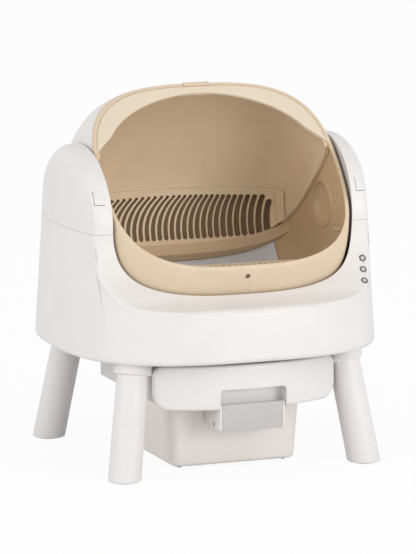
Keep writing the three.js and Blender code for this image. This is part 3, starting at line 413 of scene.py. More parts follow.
# the oval base
base = {
    "halfWidth": 0.290, "halfDepth": 0.268, "bottom": 0.207, "power": 2.9,
    "draftWidth": 0.06, "draftDepth": 0.05,  # narrower by this share of the height
    "wall": 0.004, "floor": 0.004, "bottomRound": 0.009, "seam": 0.428, "seamGap": 0.00022,
    "topRound": 0.009, "towerRoundX": 0.026, "towerRound": 0.034,  # fuller on the tower tops
    "roundFade": 0.07, "leastRound": 0.05,  # thinner where the edge runs into the wall
    "archHalf": 0.114, "archRise": 0.092, "archSpread": 0.25, "archDeep": 0.0022,
    "archSoft": 0.14, "archFoot": (0.38, 0.47),
    "chuteX": 0.146, "chuteY": 0.084, "chuteWall": 0.004, "chuteTop": 0.235,
    "wellRadius": 0.234, "wellHalfWidth": 0.240, "hubHole": 0.0495, "hubHoleX": 0.2455,
    "columnSpread": 0.001, "rounds": 9, "wallRows": 46,
}
edgeCurve = {  # the top edge seen from the side: depth, height
    "front": (0.287, 0.3015), "frontLip": (0.246, 0.3030), "lipControl": (0.214, 0.3062),
    "frontShoulder": (0.2005, 0.3179), "frontBend": (0.183, 0.333), "bendControl": 0.366,
    "towerFoot": 0.425, "towerHalfDepth": 0.146, "towerRise": 0.131,
    "rearBend": (0.190, 0.402), "rearShoulder": (0.236, 0.392), "rearEdge": 0.372,
    "frontSteps": 7, "rearSteps": 6, "leastStep": 0.00001,
    "steps": 22, "archSteps": 84,
}
barrelForm = {  # the drum and its well: how square the sides and the rims are, and how fine
    "sidePower": 2.9, "rimPower": 4, "leastRing": 0.00001, "hubSides": 96,
    "segments": 144, "rings": 88,
}


def ovalHalf(z, inset):
    drop = z - base["bottom"]
    return (
        base["halfWidth"] - drop * base["draftWidth"] - inset,
        base["halfDepth"] - drop * base["draftDepth"] - inset,
    )


def ovalShare(share):
    power = base["power"]
    return (1 - np.minimum(np.abs(share), 1) ** power) ** (1 / power)


def bend(start, control, end, steps):
    t = np.linspace(0, 1, steps + 1)[:, None]
    start, control, end = (np.array(p) for p in (start, control, end))
    return (1 - t) ** 2 * start + 2 * t * (1 - t) * control + t ** 2 * end


def topEdge(inset):
    e = edgeCurve
    steps = e["steps"]
    front, rear = (ovalHalf(z, inset)[1] for z in (e["front"][0], e["rearEdge"]))
    half = e["towerHalfDepth"] - inset
    lip, lipControl, shoulder, frontBend = (
        (-e[name][0] + inset, e[name][1] - inset)
        for name in ("frontLip", "lipControl", "frontShoulder", "frontBend")
    )
    rearBend, rearShoulder = (
        (e[name][0] - inset, e[name][1] - inset) for name in ("rearBend", "rearShoulder")
    )
    turns = np.linspace(math.pi, 0, e["archSteps"] + 1)
    rise = e["towerRise"] - inset
    points = np.concatenate([
        bend((-front, e["front"][0] - inset), (-front, e["front"][1] - inset), lip, steps),
        bend(lip, lipControl, shoulder, steps // 2),
        np.linspace(shoulder, frontBend, e["frontSteps"]),
        bend(frontBend, (-half, e["bendControl"] - inset), (-half, e["towerFoot"]), steps),
        np.stack([half * np.cos(turns), axisHeight + rise * np.sin(turns)], axis=1),
        bend((half, e["towerFoot"] + inset), (half, rearBend[1]), rearBend, steps),
        np.linspace(rearBend, rearShoulder, e["rearSteps"]),
        bend(rearShoulder, (rear, rearShoulder[1]), (rear, e["rearEdge"] - inset), steps),
    ])
    apart = np.linalg.norm(np.diff(points, axis=0), axis=1) > e["leastStep"]
    return points[np.concatenate([[True], apart])]


def archRecess(y, z):  # the shallow arch on the outer side of each tower
    over = np.hypot(y / base["archHalf"], (z - axisHeight) / base["archRise"])
    under = np.abs(y) / (base["archHalf"] + (axisHeight - z) * base["archSpread"])
    within = eased((1 - np.where(z > axisHeight, over, under)) / base["archSoft"])
    low, high = base["archFoot"]
    return base["archDeep"] * within * eased((z - low) / (high - low))


def baseForm(name, inset, bottom, edgeRound):
    points = topEdge(inset)
    depth, height = points.T
    lift = eased((height - axisHeight) / edgeCurve["towerRise"])
    shareOut = 1 - np.abs(depth) / ovalHalf(height, inset)[1]
    fade = np.maximum(eased(shareOut / base["roundFade"]), base["leastRound"])
    roundX, roundDown = (
        (base["topRound"] + (base[full] - base["topRound"]) * lift - inset) * fade
        for full in ("towerRoundX", "towerRound")
    )
    order = np.arange(len(points))
    along = points[np.minimum(order + 1, len(points) - 1)] - points[np.maximum(order - 1, 0)]
    along /= np.linalg.norm(along, axis=1)[:, None]
    outY, outZ = -along[:, 1], along[:, 0]
    lengths = np.concatenate([[0], np.cumsum(np.abs(np.diff(depth)) + base["columnSpread"])])
    bottomShare = np.sin((2 * lengths / lengths[-1] - 1) * math.pi / 2)
    startZ = height - outZ * roundDown
    startShare = np.clip((depth - outY * roundDown) / ovalHalf(startZ, inset)[1], -1, 1)

    def wallRow(share, z, extra):
        wide, deep = ovalHalf(z, inset)
        z = np.broadcast_to(z, share.shape)
        return np.stack([(wide - extra) * ovalShare(share), (deep - extra) * share, z], axis=1)

    rows = [wallRow(bottomShare, bottom, edgeRound) * (0, 1, 1)]
    for inward, down in quarter(base["rounds"]):
        rows.append(wallRow(bottomShare, bottom + edgeRound * inward, edgeRound * down))
    for share in np.linspace(0, 1, base["wallRows"] + 1)[1:]:
        z = (bottom + edgeRound) * (1 - share) + startZ * share
        row = wallRow(bottomShare * (1 - share) + startShare * share, z, 0)
        row[:, 0] -= archRecess(row[:, 1], z) * np.minimum(row[:, 0] / base["wellRadius"], 1)
        rows.append(row)
    wallX = rows[-1][:, 0]
    for inward, down in quarter(base["rounds"])[1:]:
        x = np.maximum(wallX - roundX * inward, 0)
        back = roundDown * down
        rows.append(np.stack([x, depth - outY * back, height - outZ * back], axis=1))
    rows.append(rows[-1] * (0, 1, 1))
    half = np.stack(rows)
    half[:, (0, -1), 0] = 0
    return loft(name, np.concatenate([half, half[:, -2:0:-1] * (-1, 1, 1)], axis=1))


def barrel(name, radius, halfWidth):
    b = barrelForm
    deselectAll()
    bpy.ops.mesh.primitive_uv_sphere_add(
        segments=b["segments"], ring_count=b["rings"], radius=1, rotation=(0, math.pi / 2, 0)
    )
    bpy.ops.object.transform_apply(rotation=True)
    piece = named(name)
    co = np.zeros(len(piece.data.vertices) * 3)
    piece.data.vertices.foreach_get("co", co)
    x, y, z = co.reshape(-1, 3).T
    ring = np.hypot(y, z)
    turn = np.arctan2(np.abs(x), ring)
    reach = radius * np.maximum(np.cos(turn), 0) ** (2 / b["rimPower"])
    grow = np.where(ring > b["leastRing"], reach / np.maximum(ring, b["leastRing"]), 0)
    x = np.sign(x) * halfWidth * np.sin(turn) ** (2 / b["sidePower"])
    return setPoints(piece, np.stack([x, y * grow, z * grow + axisHeight], axis=1))


keyPads = {  # three push buttons and a light on the right of the front band: across, height
    "clean_button": (0.241, 0.361), "level_button": (0.237, 0.343), "mode_button": (0.232, 0.326),
    "light": (0.242, 0.352), "radius": 0.006, "lightRadius": 0.0015, "gap": 0.0005,
    "stand": 0.0008, "length": 0.0055, "hole": (-0.009, 0.004),
    "ringInset": 0.0005, "ringRise": 0.0003, "ringWidth": 0.0012, "faceInset": 0.0004,
    "faceDrop": 0.0006, "faceRadius": 0.0037,
}
keyNames = ("clean_button", "level_button", "mode_button")
tabPads = {
    "x": 0.2475, "z": 0.491, "halfWidth": 0.0085, "halfHeight": 0.011, "thick": 0.006,
    "front": -0.102, "wideGap": 0.0010, "tightGap": 0.0001,
}
inletSpot = {
    "x": 0.150, "z": 0.245, "halfWidth": 0.013, "halfHeight": 0.009, "deep": 0.020, "foot": 0.2113,
    "window": (0.2, 0.3), "backInset": 0.008, "noseDeep": 0.010, "noseRound": 0.002,
    "socket": 0.004, "socketDeep": 0.012, "socketEnd": 0.3, "pin": 0.0012, "pinFoot": 0.0125,
    "pinTip": 0.003, "pinRound": 0.0005,
}


def bandPoint(x, height):  # a spot on the front band, and the way out of it
    points = topEdge(0)
    for a, b in zip(points[:-1], points[1:]):
        if a[1] <= height <= b[1]:
            share = (height - a[1]) / (b[1] - a[1])
            out = Vector((0, -(b[1] - a[1]), b[0] - a[0])).normalized()
            return Vector((x, a[0] + (b[0] - a[0]) * share, height)), out


def bandPlug(name, spot, radius, start, end, sides=40):
    at, out = bandPoint(*spot)
    return bar(name, at + out * start, at + out * end, radius, sides=sides)


def tabBlock(name, side, low, high):  # the tab's outline, wider by low and high at its two ends
    p = tabPads
    return block(
        name, side * p["x"] - p["halfWidth"] - low, side * p["x"] + p["halfWidth"] + high,
        -far, p["front"], p["z"] - p["halfHeight"] - low, p["z"] + p["halfHeight"] + high,
    )


hands = ((-1, "left"), (1, "right"))
shell = baseForm("base_shell_body", 0, base["bottom"], base["bottomRound"])
tabForms = {}
for side, word in hands:
    tabForms[word] = copyOf(shell, word + "_tab_face")
    keepInside(tabForms[word], tabBlock("cut", side, 0, 0))
carve(shell, barrel("well", base["wellRadius"], base["wellHalfWidth"]))
wall = base["wall"]
hollow = baseForm("hollow", wall, base["bottom"] + base["floor"], base["bottomRound"] / 2)
carve(hollow, barrel("wellSkin", base["wellRadius"] + wall, base["wellHalfWidth"] + wall))
outerX, outerY = base["chuteX"] + base["chuteWall"], base["chuteY"] + base["chuteWall"]
carve(hollow, wideBlock("chuteBlock", outerX, -outerY, outerY, near, base["chuteTop"]))
carve(shell, hollow)


def chuteCut():
    return wideBlock("chute", base["chuteX"], -base["chuteY"], base["chuteY"], near, axisHeight)


hubHole = crossBar(
    "hubHole", -base["hubHoleX"], base["hubHoleX"], 0, axisHeight, base["hubHole"],
    barrelForm["hubSides"],
)
carve(shell, chuteCut(), hubHole)
print("base form cut")

towers = copyOf(shell, "tower_caps")
carve(shell, wideBlock("upper", far, -far, far, base["seam"] - base["seamGap"], above))
for name in keyNames:
    radius = keyPads["radius"] + keyPads["gap"]
    carve(shell, bandPlug("hole", keyPads[name], radius, *keyPads["hole"]))
radius = keyPads["lightRadius"] + seatGap
carve(shell, bandPlug("hole", keyPads["light"], radius, *keyPads["hole"]))
s = inletSpot
halfWidth, halfHeight = s["halfWidth"] + seatGap, s["halfHeight"] + seatGap
carve(shell, block(
    "window", s["x"] - halfWidth, s["x"] + halfWidth, *s["window"],
    s["z"] - halfHeight, s["z"] + halfHeight,
))
finished(shell, "base", "white_plastic", ["base_shell"], "whitePlastic")

for side, word in hands:
    cap = copyOf(towers, word + "_tower_shell")
    capFoot = base["seam"] + base["seamGap"]
    keepInside(cap, block("side", *sorted((0, side * far)), -far, far, capFoot, above))
    carve(cap, tabBlock("pocket", side, tabPads["wideGap"], tabPads["tightGap"]))
    finished(cap, "base", "white_plastic", [word + "_tower_cap"], "whitePlastic")
    tab = tabForms[word]
    carve(tab, copyOf(tab, "behind", Matrix.Translation((0, tabPads["thick"], 0))))
    finished(tab, word + "_tab", "white_plastic", [word + "_release_tab"], "whitePlastic")
bpy.data.objects.remove(towers, do_unlink=True)
print("shell, caps and tabs made")


# the drum: a barrel about the left-right axis, with its mouth tipped forward
drum = {
    "radius": 0.229, "halfWidth": 0.235, "wall": 0.0035, "mouth": 0.1165, "split": 0.050,
    "splitGap": 0.0002, "lipWidth": 0.008, "lipDepth": 0.006, "lipRound": 0.0024,
    "underLip": (0.001, 0.0008, 0.002), "sillRadius": 0.200, "sillHalfWidth": 0.240,
    "sillHeight": 0.020, "hubRadius": 0.044, "hubInner": 0.228, "hubReach": 0.262,
    "hubRound": 0.0015, "hollow": (0.253, 0.3), "hollowRadius": 0.034, "dishRadius": 0.040,
    "dishDepth": 0.020, "peg": (0.218, 0.232), "pegY": -0.084, "pegDrop": 0.036,
    "pegRadius": 0.004, "pegRound": 0.0012,
    "around": 224, "downward": 72, "lipSteps": 5,
    "halvings": 44, "rimWithin": 0.3, "wallWithin": 0.5,
}
d = drum
hood = {"radius": 0.210, "halfWidth": 0.228, "wall": 0.003, "rim": 0.1107}
phi = np.linspace(0, 2 * math.pi, drum["around"], endpoint=False)


def farthest(inside, count, high):  # by halving, the largest values that keep inside() below 1
    low, high = np.zeros(count), np.full(count, high)
    for _ in range(drum["halvings"]):
        mid = (low + high) / 2
        within = inside(mid) < 1
        low, high = np.where(within, mid, low), np.where(within, high, mid)
    return low


def barrelTest(radius, halfWidth, across, outward):  # 1 on the barrel's surface
    b = barrelForm
    return (outward / radius) ** b["rimPower"] + (np.abs(across) / halfWidth) ** b["sidePower"]


def rimReach(radius, halfWidth, turns, height):
    return farthest(
        lambda reach: barrelTest(
            radius, halfWidth, reach * np.cos(turns), np.hypot(reach * np.sin(turns), height)
        ), len(turns), drum["rimWithin"],
    )


def wallRows(radius, halfWidth, rim):
    steepest = np.arctan2(rimReach(radius, halfWidth, phi, rim), -rim)
    rows = []
    for share in np.linspace(0, 1, drum["downward"] + 1):
        turn = steepest * share
        way = np.stack([np.sin(turn) * np.cos(phi), np.sin(turn) * np.sin(phi), -np.cos(turn)])
        reach = farthest(
            lambda long: barrelTest(radius, halfWidth, long * way[0], long * np.hypot(*way[1:])),
            len(phi), drum["wallWithin"],
        )
        rows.append((way * reach).T)
    return rows


def rimRow(radius, halfWidth, height, inward):
    reach = rimReach(radius, halfWidth, phi, height) - inward
    return np.stack([reach * np.cos(phi), reach * np.sin(phi), np.full_like(phi, height)], axis=1)


def drumWall(name, radius, halfWidth, wall, rim, lipped=False):
    innerRim = rim
    if lipped:
        lipWidth, lipRound = drum["lipWidth"], drum["lipRound"]
        down, inward, further = drum["underLip"]
        rows = wallRows(radius, halfWidth, rim - lipRound)
        edge = [(rim - lipRound * low, lipRound * share) for share, low in quarter(d["lipSteps"])]
        edge = edge[1:] + [(height, lipWidth - inside) for height, inside in edge[::-1]]
        innerRim -= drum["lipDepth"]
        edge += [(innerRim, lipWidth), (innerRim - down, lipWidth - inward)]
        rows += [rimRow(radius, halfWidth, *spot) for spot in edge]
        innerRim -= further
    else:
        rows = wallRows(radius, halfWidth, rim)
    rows += wallRows(radius - wall, halfWidth - wall, innerRim)[::-1]
    return loft(name, np.stack(rows))


def intoPlace(piece):  # from the mouth's own frame to the drum at rest
    piece.data.transform(mouthMatrix)
    return piece


def lineInside(piece):  # the faces that look at the drum's middle get the second finish
    for face in piece.data.polygons:
        face.material_index = int(face.normal.dot(face.center - drumCentre) < 0)


bowlTop, hoodFoot = d["split"] - d["splitGap"], d["split"] + d["splitGap"]
bowl = drumWall("drum_bowl_shell", d["radius"], d["halfWidth"], d["wall"], d["mouth"], lipped=True)
cutPast(bowl, (0, bowlTop, 0), (0, 1, 0))
intoPlace(bowl)
sill = barrel("sill", d["radius"] - overlap, d["halfWidth"] - overlap)
keepInside(sill, intoPlace(wideBlock("sillBox", far, bowlTop - d["sillHeight"], bowlTop, -far, 0)))
carve(sill, barrel("sillCut", d["sillRadius"], d["sillHalfWidth"]))
fuse(bowl, sill)
for side, _ in hands:
    ends = side * d["hubInner"], side * d["hubReach"]
    hub = crossBar("hub", *ends, 0, axisHeight, d["hubRadius"], barrelForm["hubSides"])
    fuse(bowl, roundEdges(hub, d["hubRound"]))
    deselectAll()
    bpy.ops.mesh.primitive_uv_sphere_add(
        segments=barrelForm["hubSides"], ring_count=48, radius=1, location=(ends[0], 0, axisHeight),
        scale=(d["dishRadius"], d["dishRadius"], d["dishDepth"]), rotation=(0, math.pi / 2, 0),
    )
    bpy.ops.object.transform_apply(location=True, rotation=True, scale=True)
    carve(bowl, named("dish"))
    ends = (side * x for x in d["hollow"])
    sides = barrelForm["hubSides"]
    carve(bowl, crossBar("hollow", *ends, 0, axisHeight, d["hollowRadius"], sides))
    ends = (side * x for x in d["peg"])
    peg = crossBar("peg", *ends, d["pegY"], axisHeight - d["pegDrop"], d["pegRadius"], 32)
    fuse(bowl, roundEdges(peg, d["pegRound"]))


def arcSector(name, start, end, inner, outer, low, high):  # about the drum's axis
    turns = np.linspace(start, end, 25)
    arc = [(outer * math.cos(t), axisHeight + outer * math.sin(t)) for t in turns]
    arc += [(inner * math.cos(t), axisHeight + inner * math.sin(t)) for t in turns[::-1]]
    return loft(name, np.array([[(x, y, z) for y, z in arc] for x in (low, high)]), endCaps=True)


screw = {
    "turn": math.radians(202.3), "head": 0.004, "seat": 0.2258, "face": 0.2272, "out": 0.24,
    "hole": 0.0049, "shank": 0.002, "shankEnd": 0.217, "shankTop": 0.226, "headRound": 0.0011,
    "socket": 0.0017, "socketSeat": 0.2262,
}
mouldLine = {
    "low": 0.0062, "high": 0.0066, "start": math.radians(205.5), "end": math.radians(226),
    "deep": 0.2286,
}


def screwBar(name, start, end, radius, sides):
    way = Vector((0, math.cos(screw["turn"]), math.sin(screw["turn"])))
    start, end = (drumCentre + way * screw[key] for key in (start, end))
    return bar(name, start, end, screw[radius], sides=sides)


m = mouldLine
seam = arcSector("mouldLine", m["start"], m["end"], m["deep"], screw["out"], m["low"], m["high"])
carve(bowl, screwBar("screwHole", "seat", "out", "hole", 40), seam)
# the bowl's inner faces get the darker tan, painted shade inside the drum
finished(bowl, "drum", "tan_plastic", ["drum_bowl"], "tanPlastic", "bowlInsidePaintedShade")
lineInside(bowl)
lipScrew = roundEdges(
    screwBar("lip_screw_head", "seat", "face", "head", 40), screw["headRound"], angle=60
)
carve(lipScrew, screwBar("socket", "socketSeat", "out", "socket", 6))
fuse(lipScrew, screwBar("shank", "shankEnd", "shankTop", "shank", 24))
finished(lipScrew, "drum", "steel", ["lip_screw"], "darkSteel")
print("bowl made")

hoodShell = drumWall("hood_outer_shell", d["radius"], d["halfWidth"], d["wall"], hood["rim"])
cutPast(hoodShell, (0, hoodFoot, 0), (0, -1, 0))
intoPlace(hoodShell)
# the hood shell's inner faces get the dark brown painted shade
finished(hoodShell, "drum", "white_plastic", ["hood_shell"], "whitePlastic", "hoodBackPaintedShade")
lineInside(hoodShell)

flange = {"gap": 0.0004, "thick": 0.0028, "rimThick": 0.0028, "drop": 0.0002}
sieve = {
    "top": math.radians(2.6), "bottom": math.radians(-27.2), "halfWidth": 0.209,
    "pitch": 0.0124, "count": 34, "width": 0.0086, "halfHeight": 0.0446, "margin": 0.0030,
    "arch": 0.013, "lean": 0.034, "leanEnd": 0.009, "leanPower": 2.6, "leanFrom": -0.04,
    "leanOver": 0.22, "narrow": 0.20, "widen": 0.3, "slotSteps": 15, "leastSteps": 5,
    "reach": (0.10, 0.25), "window": (0.2, 0.0015, 0.12, 0.26), "edge": 0.0015,
    "frameWidth": 0.010, "frameRise": 0.0035, "frameRound": 0.0024, "frameInset": 0.0004,
    "frameDrop": 0.002, "turnSteps": 22,
}
s = sieve
hoodLiner = drumWall(
    "hood_inner_liner", hood["radius"], hood["halfWidth"], hood["wall"], hood["rim"]
)
cutPast(hoodLiner, (0, hoodFoot, 0), (0, -1, 0))
intoPlace(hoodLiner)
inset = d["wall"] + flange["gap"]
rim = barrel("flange", d["radius"] - inset, d["halfWidth"] - inset)
rimTop = hood["rim"] - flange["drop"]
band = wideBlock("flangeBand", far, hoodFoot, hoodFoot + flange["thick"], -far, rimTop)
fuse(band, wideBlock("rimBand", far, hoodFoot, far, rimTop - flange["rimThick"], rimTop))
keepInside(rim, intoPlace(band))
carve(rim, barrel("flangeRoom", hood["radius"] - overlap, hood["halfWidth"] - overlap))
fuse(hoodLiner, rim)
below, over, inner, outer = s["window"]
carve(hoodLiner, arcSector(
    "window", s["bottom"] - below, s["top"] + over, inner, outer,
    -s["halfWidth"] - seatGap, s["halfWidth"] + seatGap,
))
# the liner's lighter tan is painted light on the drum's back wall
finished(hoodLiner, "drum", "tan_plastic", ["hood_liner"], "hoodLinerTanPaintedLight")
print("hood made")


def barrelRing(radius, halfWidth, x):
    b = barrelForm
    return radius * (1 - (abs(x) / halfWidth) ** b["sidePower"]) ** (1 / b["rimPower"])


def barrelPlate(name, radius, halfWidth, thick, xs, ends, steps):
    rings = []
    for x in xs:
        outer = barrelRing(radius, halfWidth, x)
        inner = barrelRing(radius - thick, halfWidth - thick, x)
        turns = np.linspace(*(end(outer) if callable(end) else end for end in ends), steps + 1)
        loop = [(x, outer * math.cos(t), axisHeight + outer * math.sin(t)) for t in turns]
        loop += [(x, inner * math.cos(t), axisHeight + inner * math.sin(t)) for t in turns[::-1]]
        rings.append(loop)
    return loft(name, np.array(rings), endCaps=True)


def splitTurn(offset):  # the turn at which a ring meets a plane beside the split
    return lambda reach: mouthTurn - math.acos(min(offset / reach, 1))


panel = barrelPlate(
    "sieve_grille_panel", hood["radius"], hood["halfWidth"], hood["wall"],
    np.linspace(-s["halfWidth"], s["halfWidth"], 57), (splitTurn(d["split"] + seatGap), s["top"]),
    s["turnSteps"],
)
middle = (s["top"] + s["bottom"]) / 2
out = Vector((0, math.cos(middle), math.sin(middle)))
up = Vector((0, -math.sin(middle), math.cos(middle)))
low = -s["halfHeight"] + s["margin"] + s["width"] / 2
slotEdge = s["halfWidth"] - s["frameWidth"] - s["edge"]
turns = np.linspace(0, math.pi, 9)[1:-1]
slots = []
for i in range(-s["count"] // 2, s["count"] // 2 + 1):
    foot = i * s["pitch"]
    turned = float(eased((foot - s["leanFrom"]) / s["leanOver"]))  # steeper towards the right
    lean = s["lean"] + (s["leanEnd"] - s["lean"]) * turned
    spine = []
    for share in np.linspace(0, 1, s["slotSteps"]):
        half = s["width"] / 2 * (1 - s["narrow"] * share + s["widen"] * turned)
        x = foot + lean * share ** s["leanPower"]
        high = s["halfHeight"] - s["margin"] - half - s["arch"] * (x / s["halfWidth"]) ** 2
        if abs(x) + half < slotEdge:
            spine.append((x, low + (high - low) * share, half))
    if len(spine) < s["leastSteps"]:
        continue
    outline = [(x + half, z) for x, z, half in spine]
    x, z, half = spine[-1]
    outline += [(x + half * math.cos(t), z + half * math.sin(t)) for t in turns]
    outline += [(x - half, z) for x, z, half in spine[::-1]]
    x, z, half = spine[0]
    outline += [(x - half * math.cos(t), z - half * math.sin(t)) for t in turns]
    slots.append(loft("slot", np.array([
        [tuple(Vector((x, 0, 0)) + up * z + drumCentre + out * reach) for x, z in outline]
        for reach in s["reach"]
    ]), endCaps=True))
carve(panel, joined("slots", slots))
for side, _ in hands:
    xs = side * np.linspace(s["halfWidth"] - s["frameWidth"], s["halfWidth"] - s["frameInset"], 6)
    rail = barrelPlate(
        "rail", hood["radius"] - overlap, hood["halfWidth"] - overlap,
        hood["wall"] + s["frameRise"] - overlap, xs,
        (splitTurn(d["split"] + seatGap), s["top"] - s["frameDrop"]), s["turnSteps"],
    )
    fuse(panel, roundEdges(rail, s["frameRound"], 4))
# the sieve shares the liner's lighter tan, painted light on the back wall
finished(panel, "drum", "tan_plastic", ["sieve_grille"], "hoodLinerTanPaintedLight")

bed = {
    "halfWidth": 0.196, "thick": 0.0025, "front": math.radians(-140), "rear": 0.0292,
    "radius": 0.2252, "barrelHalf": 0.2312,
}
liner = barrelPlate(
    "floor_liner_sheet", bed["radius"], bed["barrelHalf"], bed["thick"],
    np.linspace(-bed["halfWidth"], bed["halfWidth"], 41),
    (bed["front"], splitTurn(bed["rear"])), 48,
)
finished(liner, "drum", "pale_liner", ["floor_liner"], "linerWhite")

step = {
    "halfWidth": 0.120, "front": -0.26, "rear": -0.132, "top": 0.362, "thick": 0.004,
    "round": 0.0012, "count": 19, "pitch": 0.0116, "width": 0.0054, "slotRound": 0.0024,
    "slotFront": -0.200, "slotRear": -0.142, "slotDeep": 0.01, "webX": 0.108, "webRear": -0.150,
    "webDrop": 0.044, "webSlant": -0.058, "webTop": 0.001, "bossHalf": 0.008,
    "bossDepth": -0.198, "bossDrop": 0.024, "bossTop": 0.0005,
}
s = step
top = s["top"]
stepPlate = wideBlock(
    "front_step_grid", s["halfWidth"], s["front"], s["rear"], top - s["thick"], top
)
roundEdges(stepPlate, s["round"], 2)
for side, _ in hands:
    inner = side * s["webX"]
    sides = sorted((inner, inner + side * s["thick"]))
    web = block("web", *sides, s["front"], s["webRear"], top - s["webDrop"], top - s["webTop"])
    choose(web, lambda at: at.y > s["front"] + touch and at.z < top - s["webDrop"] / 2, "VERT")
    bpy.ops.transform.translate(value=(0, s["webSlant"], 0))
    doneEditing()
    fuse(stepPlate, web)
fuse(stepPlate, wideBlock(
    "boss", s["bossHalf"], s["front"], s["bossDepth"], top - s["bossDrop"], top - s["bossTop"]
))
slots = []
for i in range(-(s["count"] // 2), s["count"] // 2 + 1):
    at = i * s["pitch"]
    front = s["bossDepth"] + s["width"] if abs(at) < s["bossHalf"] * 2 else s["slotFront"]
    slots.append(block(
        "slot", at - s["width"] / 2, at + s["width"] / 2, front, s["slotRear"],
        top - s["slotDeep"], top + s["slotDeep"],
    ))
    bevelWhere(slots[-1], lambda a, b: abs(a.z - b.z) > s["slotDeep"], s["slotRound"])
carve(stepPlate, joined("slots", slots))
keepInside(stepPlate, barrel("stepTrim", bed["radius"], bed["barrelHalf"]))
finished(stepPlate, "drum", "tan_plastic", ["front_step"], "tanPlastic")
print("sieve, liner and step made")

visor = {
    "bottom": 0.111, "tip": (0.221, 0.058), "tipFoot": 0.03, "eave": (0.186, 0.091),
    "shoulder": (0.136, 0.139), "crown": 0.176, "round": 0.0018, "innerRound": 0.0014,
    "groove": 0.0064, "grooveWidth": 0.0013, "grooveDepth": 0.0016, "grooveSide": 0.00015,
    "fadeFrom": 0.0085, "fadeOver": 0.006, "rimOver": 0.0005, "steps": 200,
}
clipForm = {
    "half": 0.0240, "front": 0.1910, "rear": 0.1990, "foot": 0.1112, "top": 0.1178,
    "round": 0.0012, "pocketHalf": 0.0248, "pocketFront": 0.1907,
}
v = visor


def visorInner():  # the inner edge as a dense outline from the right tip to the left one
    (shoulderX, shoulderZ), (eaveX, eaveZ) = v["shoulder"], v["eave"]
    rise = v["crown"] - shoulderZ
    radius = (shoulderX ** 2 + rise ** 2) / (2 * rise)
    reach = math.asin(shoulderX / radius)
    turns = np.linspace(math.pi / 2 - reach, math.pi / 2 + reach, 60)
    arch = np.stack([radius * np.cos(turns), v["crown"] - radius + radius * np.sin(turns)], axis=1)
    control = (
        (eaveX + shoulderX) / 2 + (shoulderZ - eaveZ) / 8,
        (eaveZ + shoulderZ) / 2 + (eaveX - shoulderX) / 12,
    )
    right = np.concatenate([
        [(v["tip"][0], v["tipFoot"])], np.linspace(v["tip"], v["eave"], 12),
        bend(v["eave"], control, v["shoulder"], 16)[1:-1],
    ])
    return np.concatenate([right, arch, right[::-1] * (-1, 1)])


def onOutline(outline, angle):
    x, y = outline.T
    turns = np.arctan2(y, x)
    return np.stack([np.interp(angle, turns, x), np.interp(angle, turns, y)], axis=1)


visorFoot = d["split"] + seatGap
tip = 0.2  # a first guess that closes in on where the rim meets the visor's foot
for _ in range(30):
    reach = rimReach(d["radius"], d["halfWidth"], np.array([tip]), d["mouth"])[0]
    tip = math.asin(visorFoot / reach)
outerTurn = np.linspace(tip, math.pi - tip, v["steps"])
innerTip = math.atan2(visorFoot, v["tip"][0])
innerEdge = onOutline(visorInner(), np.linspace(innerTip, math.pi - innerTip, v["steps"]))
topReach, lowReach = (
    rimReach(d["radius"], d["halfWidth"], outerTurn, height) for height in (d["mouth"], v["bottom"])
)
way = np.stack([np.cos(outerTurn), np.sin(outerTurn)], axis=1)
topPlan, lowPlan = way * topReach[:, None], way * lowReach[:, None]
across = innerEdge - topPlan
width = np.linalg.norm(across, axis=1)
across /= width[:, None]
fade = np.clip((width - v["fadeFrom"]) / v["fadeOver"], 0, 1)
groove = np.minimum(v["groove"], width * 0.5)
section = [(lowPlan, v["bottom"])]
for inward, down in quarter(4):
    section.append((topPlan + across * v["round"] * inward, d["mouth"] - v["round"] * down))
slope = v["grooveSide"]
for offset, deep in ((0, 0), (slope, 1), (v["grooveWidth"] - slope, 1), (v["grooveWidth"], 0)):
    height = d["mouth"] - deep * v["grooveDepth"] * fade
    section.append((topPlan + across * (groove + offset)[:, None], height))
section.append((topPlan + across * (groove + (width - groove) * 0.5)[:, None], d["mouth"]))
small = v["innerRound"]
for inward, down in quarter(3)[::-1]:
    section.append((innerEdge - across * small * inward, d["mouth"] - small * down))
section.append((innerEdge, v["bottom"]))
visorPiece = loft("visor_crescent", np.stack([
    np.stack([*plan.T, np.broadcast_to(height, len(plan))], axis=1) for plan, height in section
], axis=1), endCaps=True)
c = clipForm
carve(visorPiece, wideBlock("clipPocket", c["pocketHalf"], c["pocketFront"], far, near, far))
finished(visorPiece, "drum", "pale_tan_plastic", ["visor_frame"], "paleTanPlastic", "tanPlastic")
for face in visorPiece.data.polygons:  # the rim outside the groove is of the darker tan
    x, y, _ = face.center
    inside = np.interp(math.atan2(y, x), outerTurn, topReach) - math.hypot(x, y)
    face.material_index = int(inside < v["groove"] + v["rimOver"])
intoPlace(visorPiece)
clip = wideBlock("hood_clip_bar", c["half"], c["front"], c["rear"], c["foot"], c["top"])
intoPlace(roundEdges(clip, c["round"]))
finished(clip, "drum", "tan_plastic", ["hood_clip"], "tanPlastic")
print("visor and clip made")


# buttons; the light is one of the parts kept from the frame
p = keyPads
for name in keyNames:
    at, out = bandPoint(*p[name])
    key = bandPlug(name + "_cap", p[name], p["radius"], -p["length"], p["stand"], 56)
    choose(key, lambda spot, normal: normal.dot(out) > facing and (spot - at).dot(out) > 0, "FACE")
    bpy.ops.mesh.inset(thickness=p["ringInset"])
    bpy.ops.transform.translate(value=out * p["ringRise"])
    bpy.ops.mesh.inset(thickness=p["ringWidth"])
    bpy.ops.mesh.inset(thickness=p["faceInset"])
    bpy.ops.transform.translate(value=out * -p["faceDrop"])
    doneEditing()
    keyBody = name.replace("button", "key")
    finished(key, keyBody, "grey_plastic", [name], "buttonRing", "buttonFace")
    for face in key.data.polygons:
        reach = (face.center - at) - out * (face.center - at).dot(out)
        face.material_index = int(reach.length < p["faceRadius"] and face.normal.dot(out) > 0.5)
print("keys made")


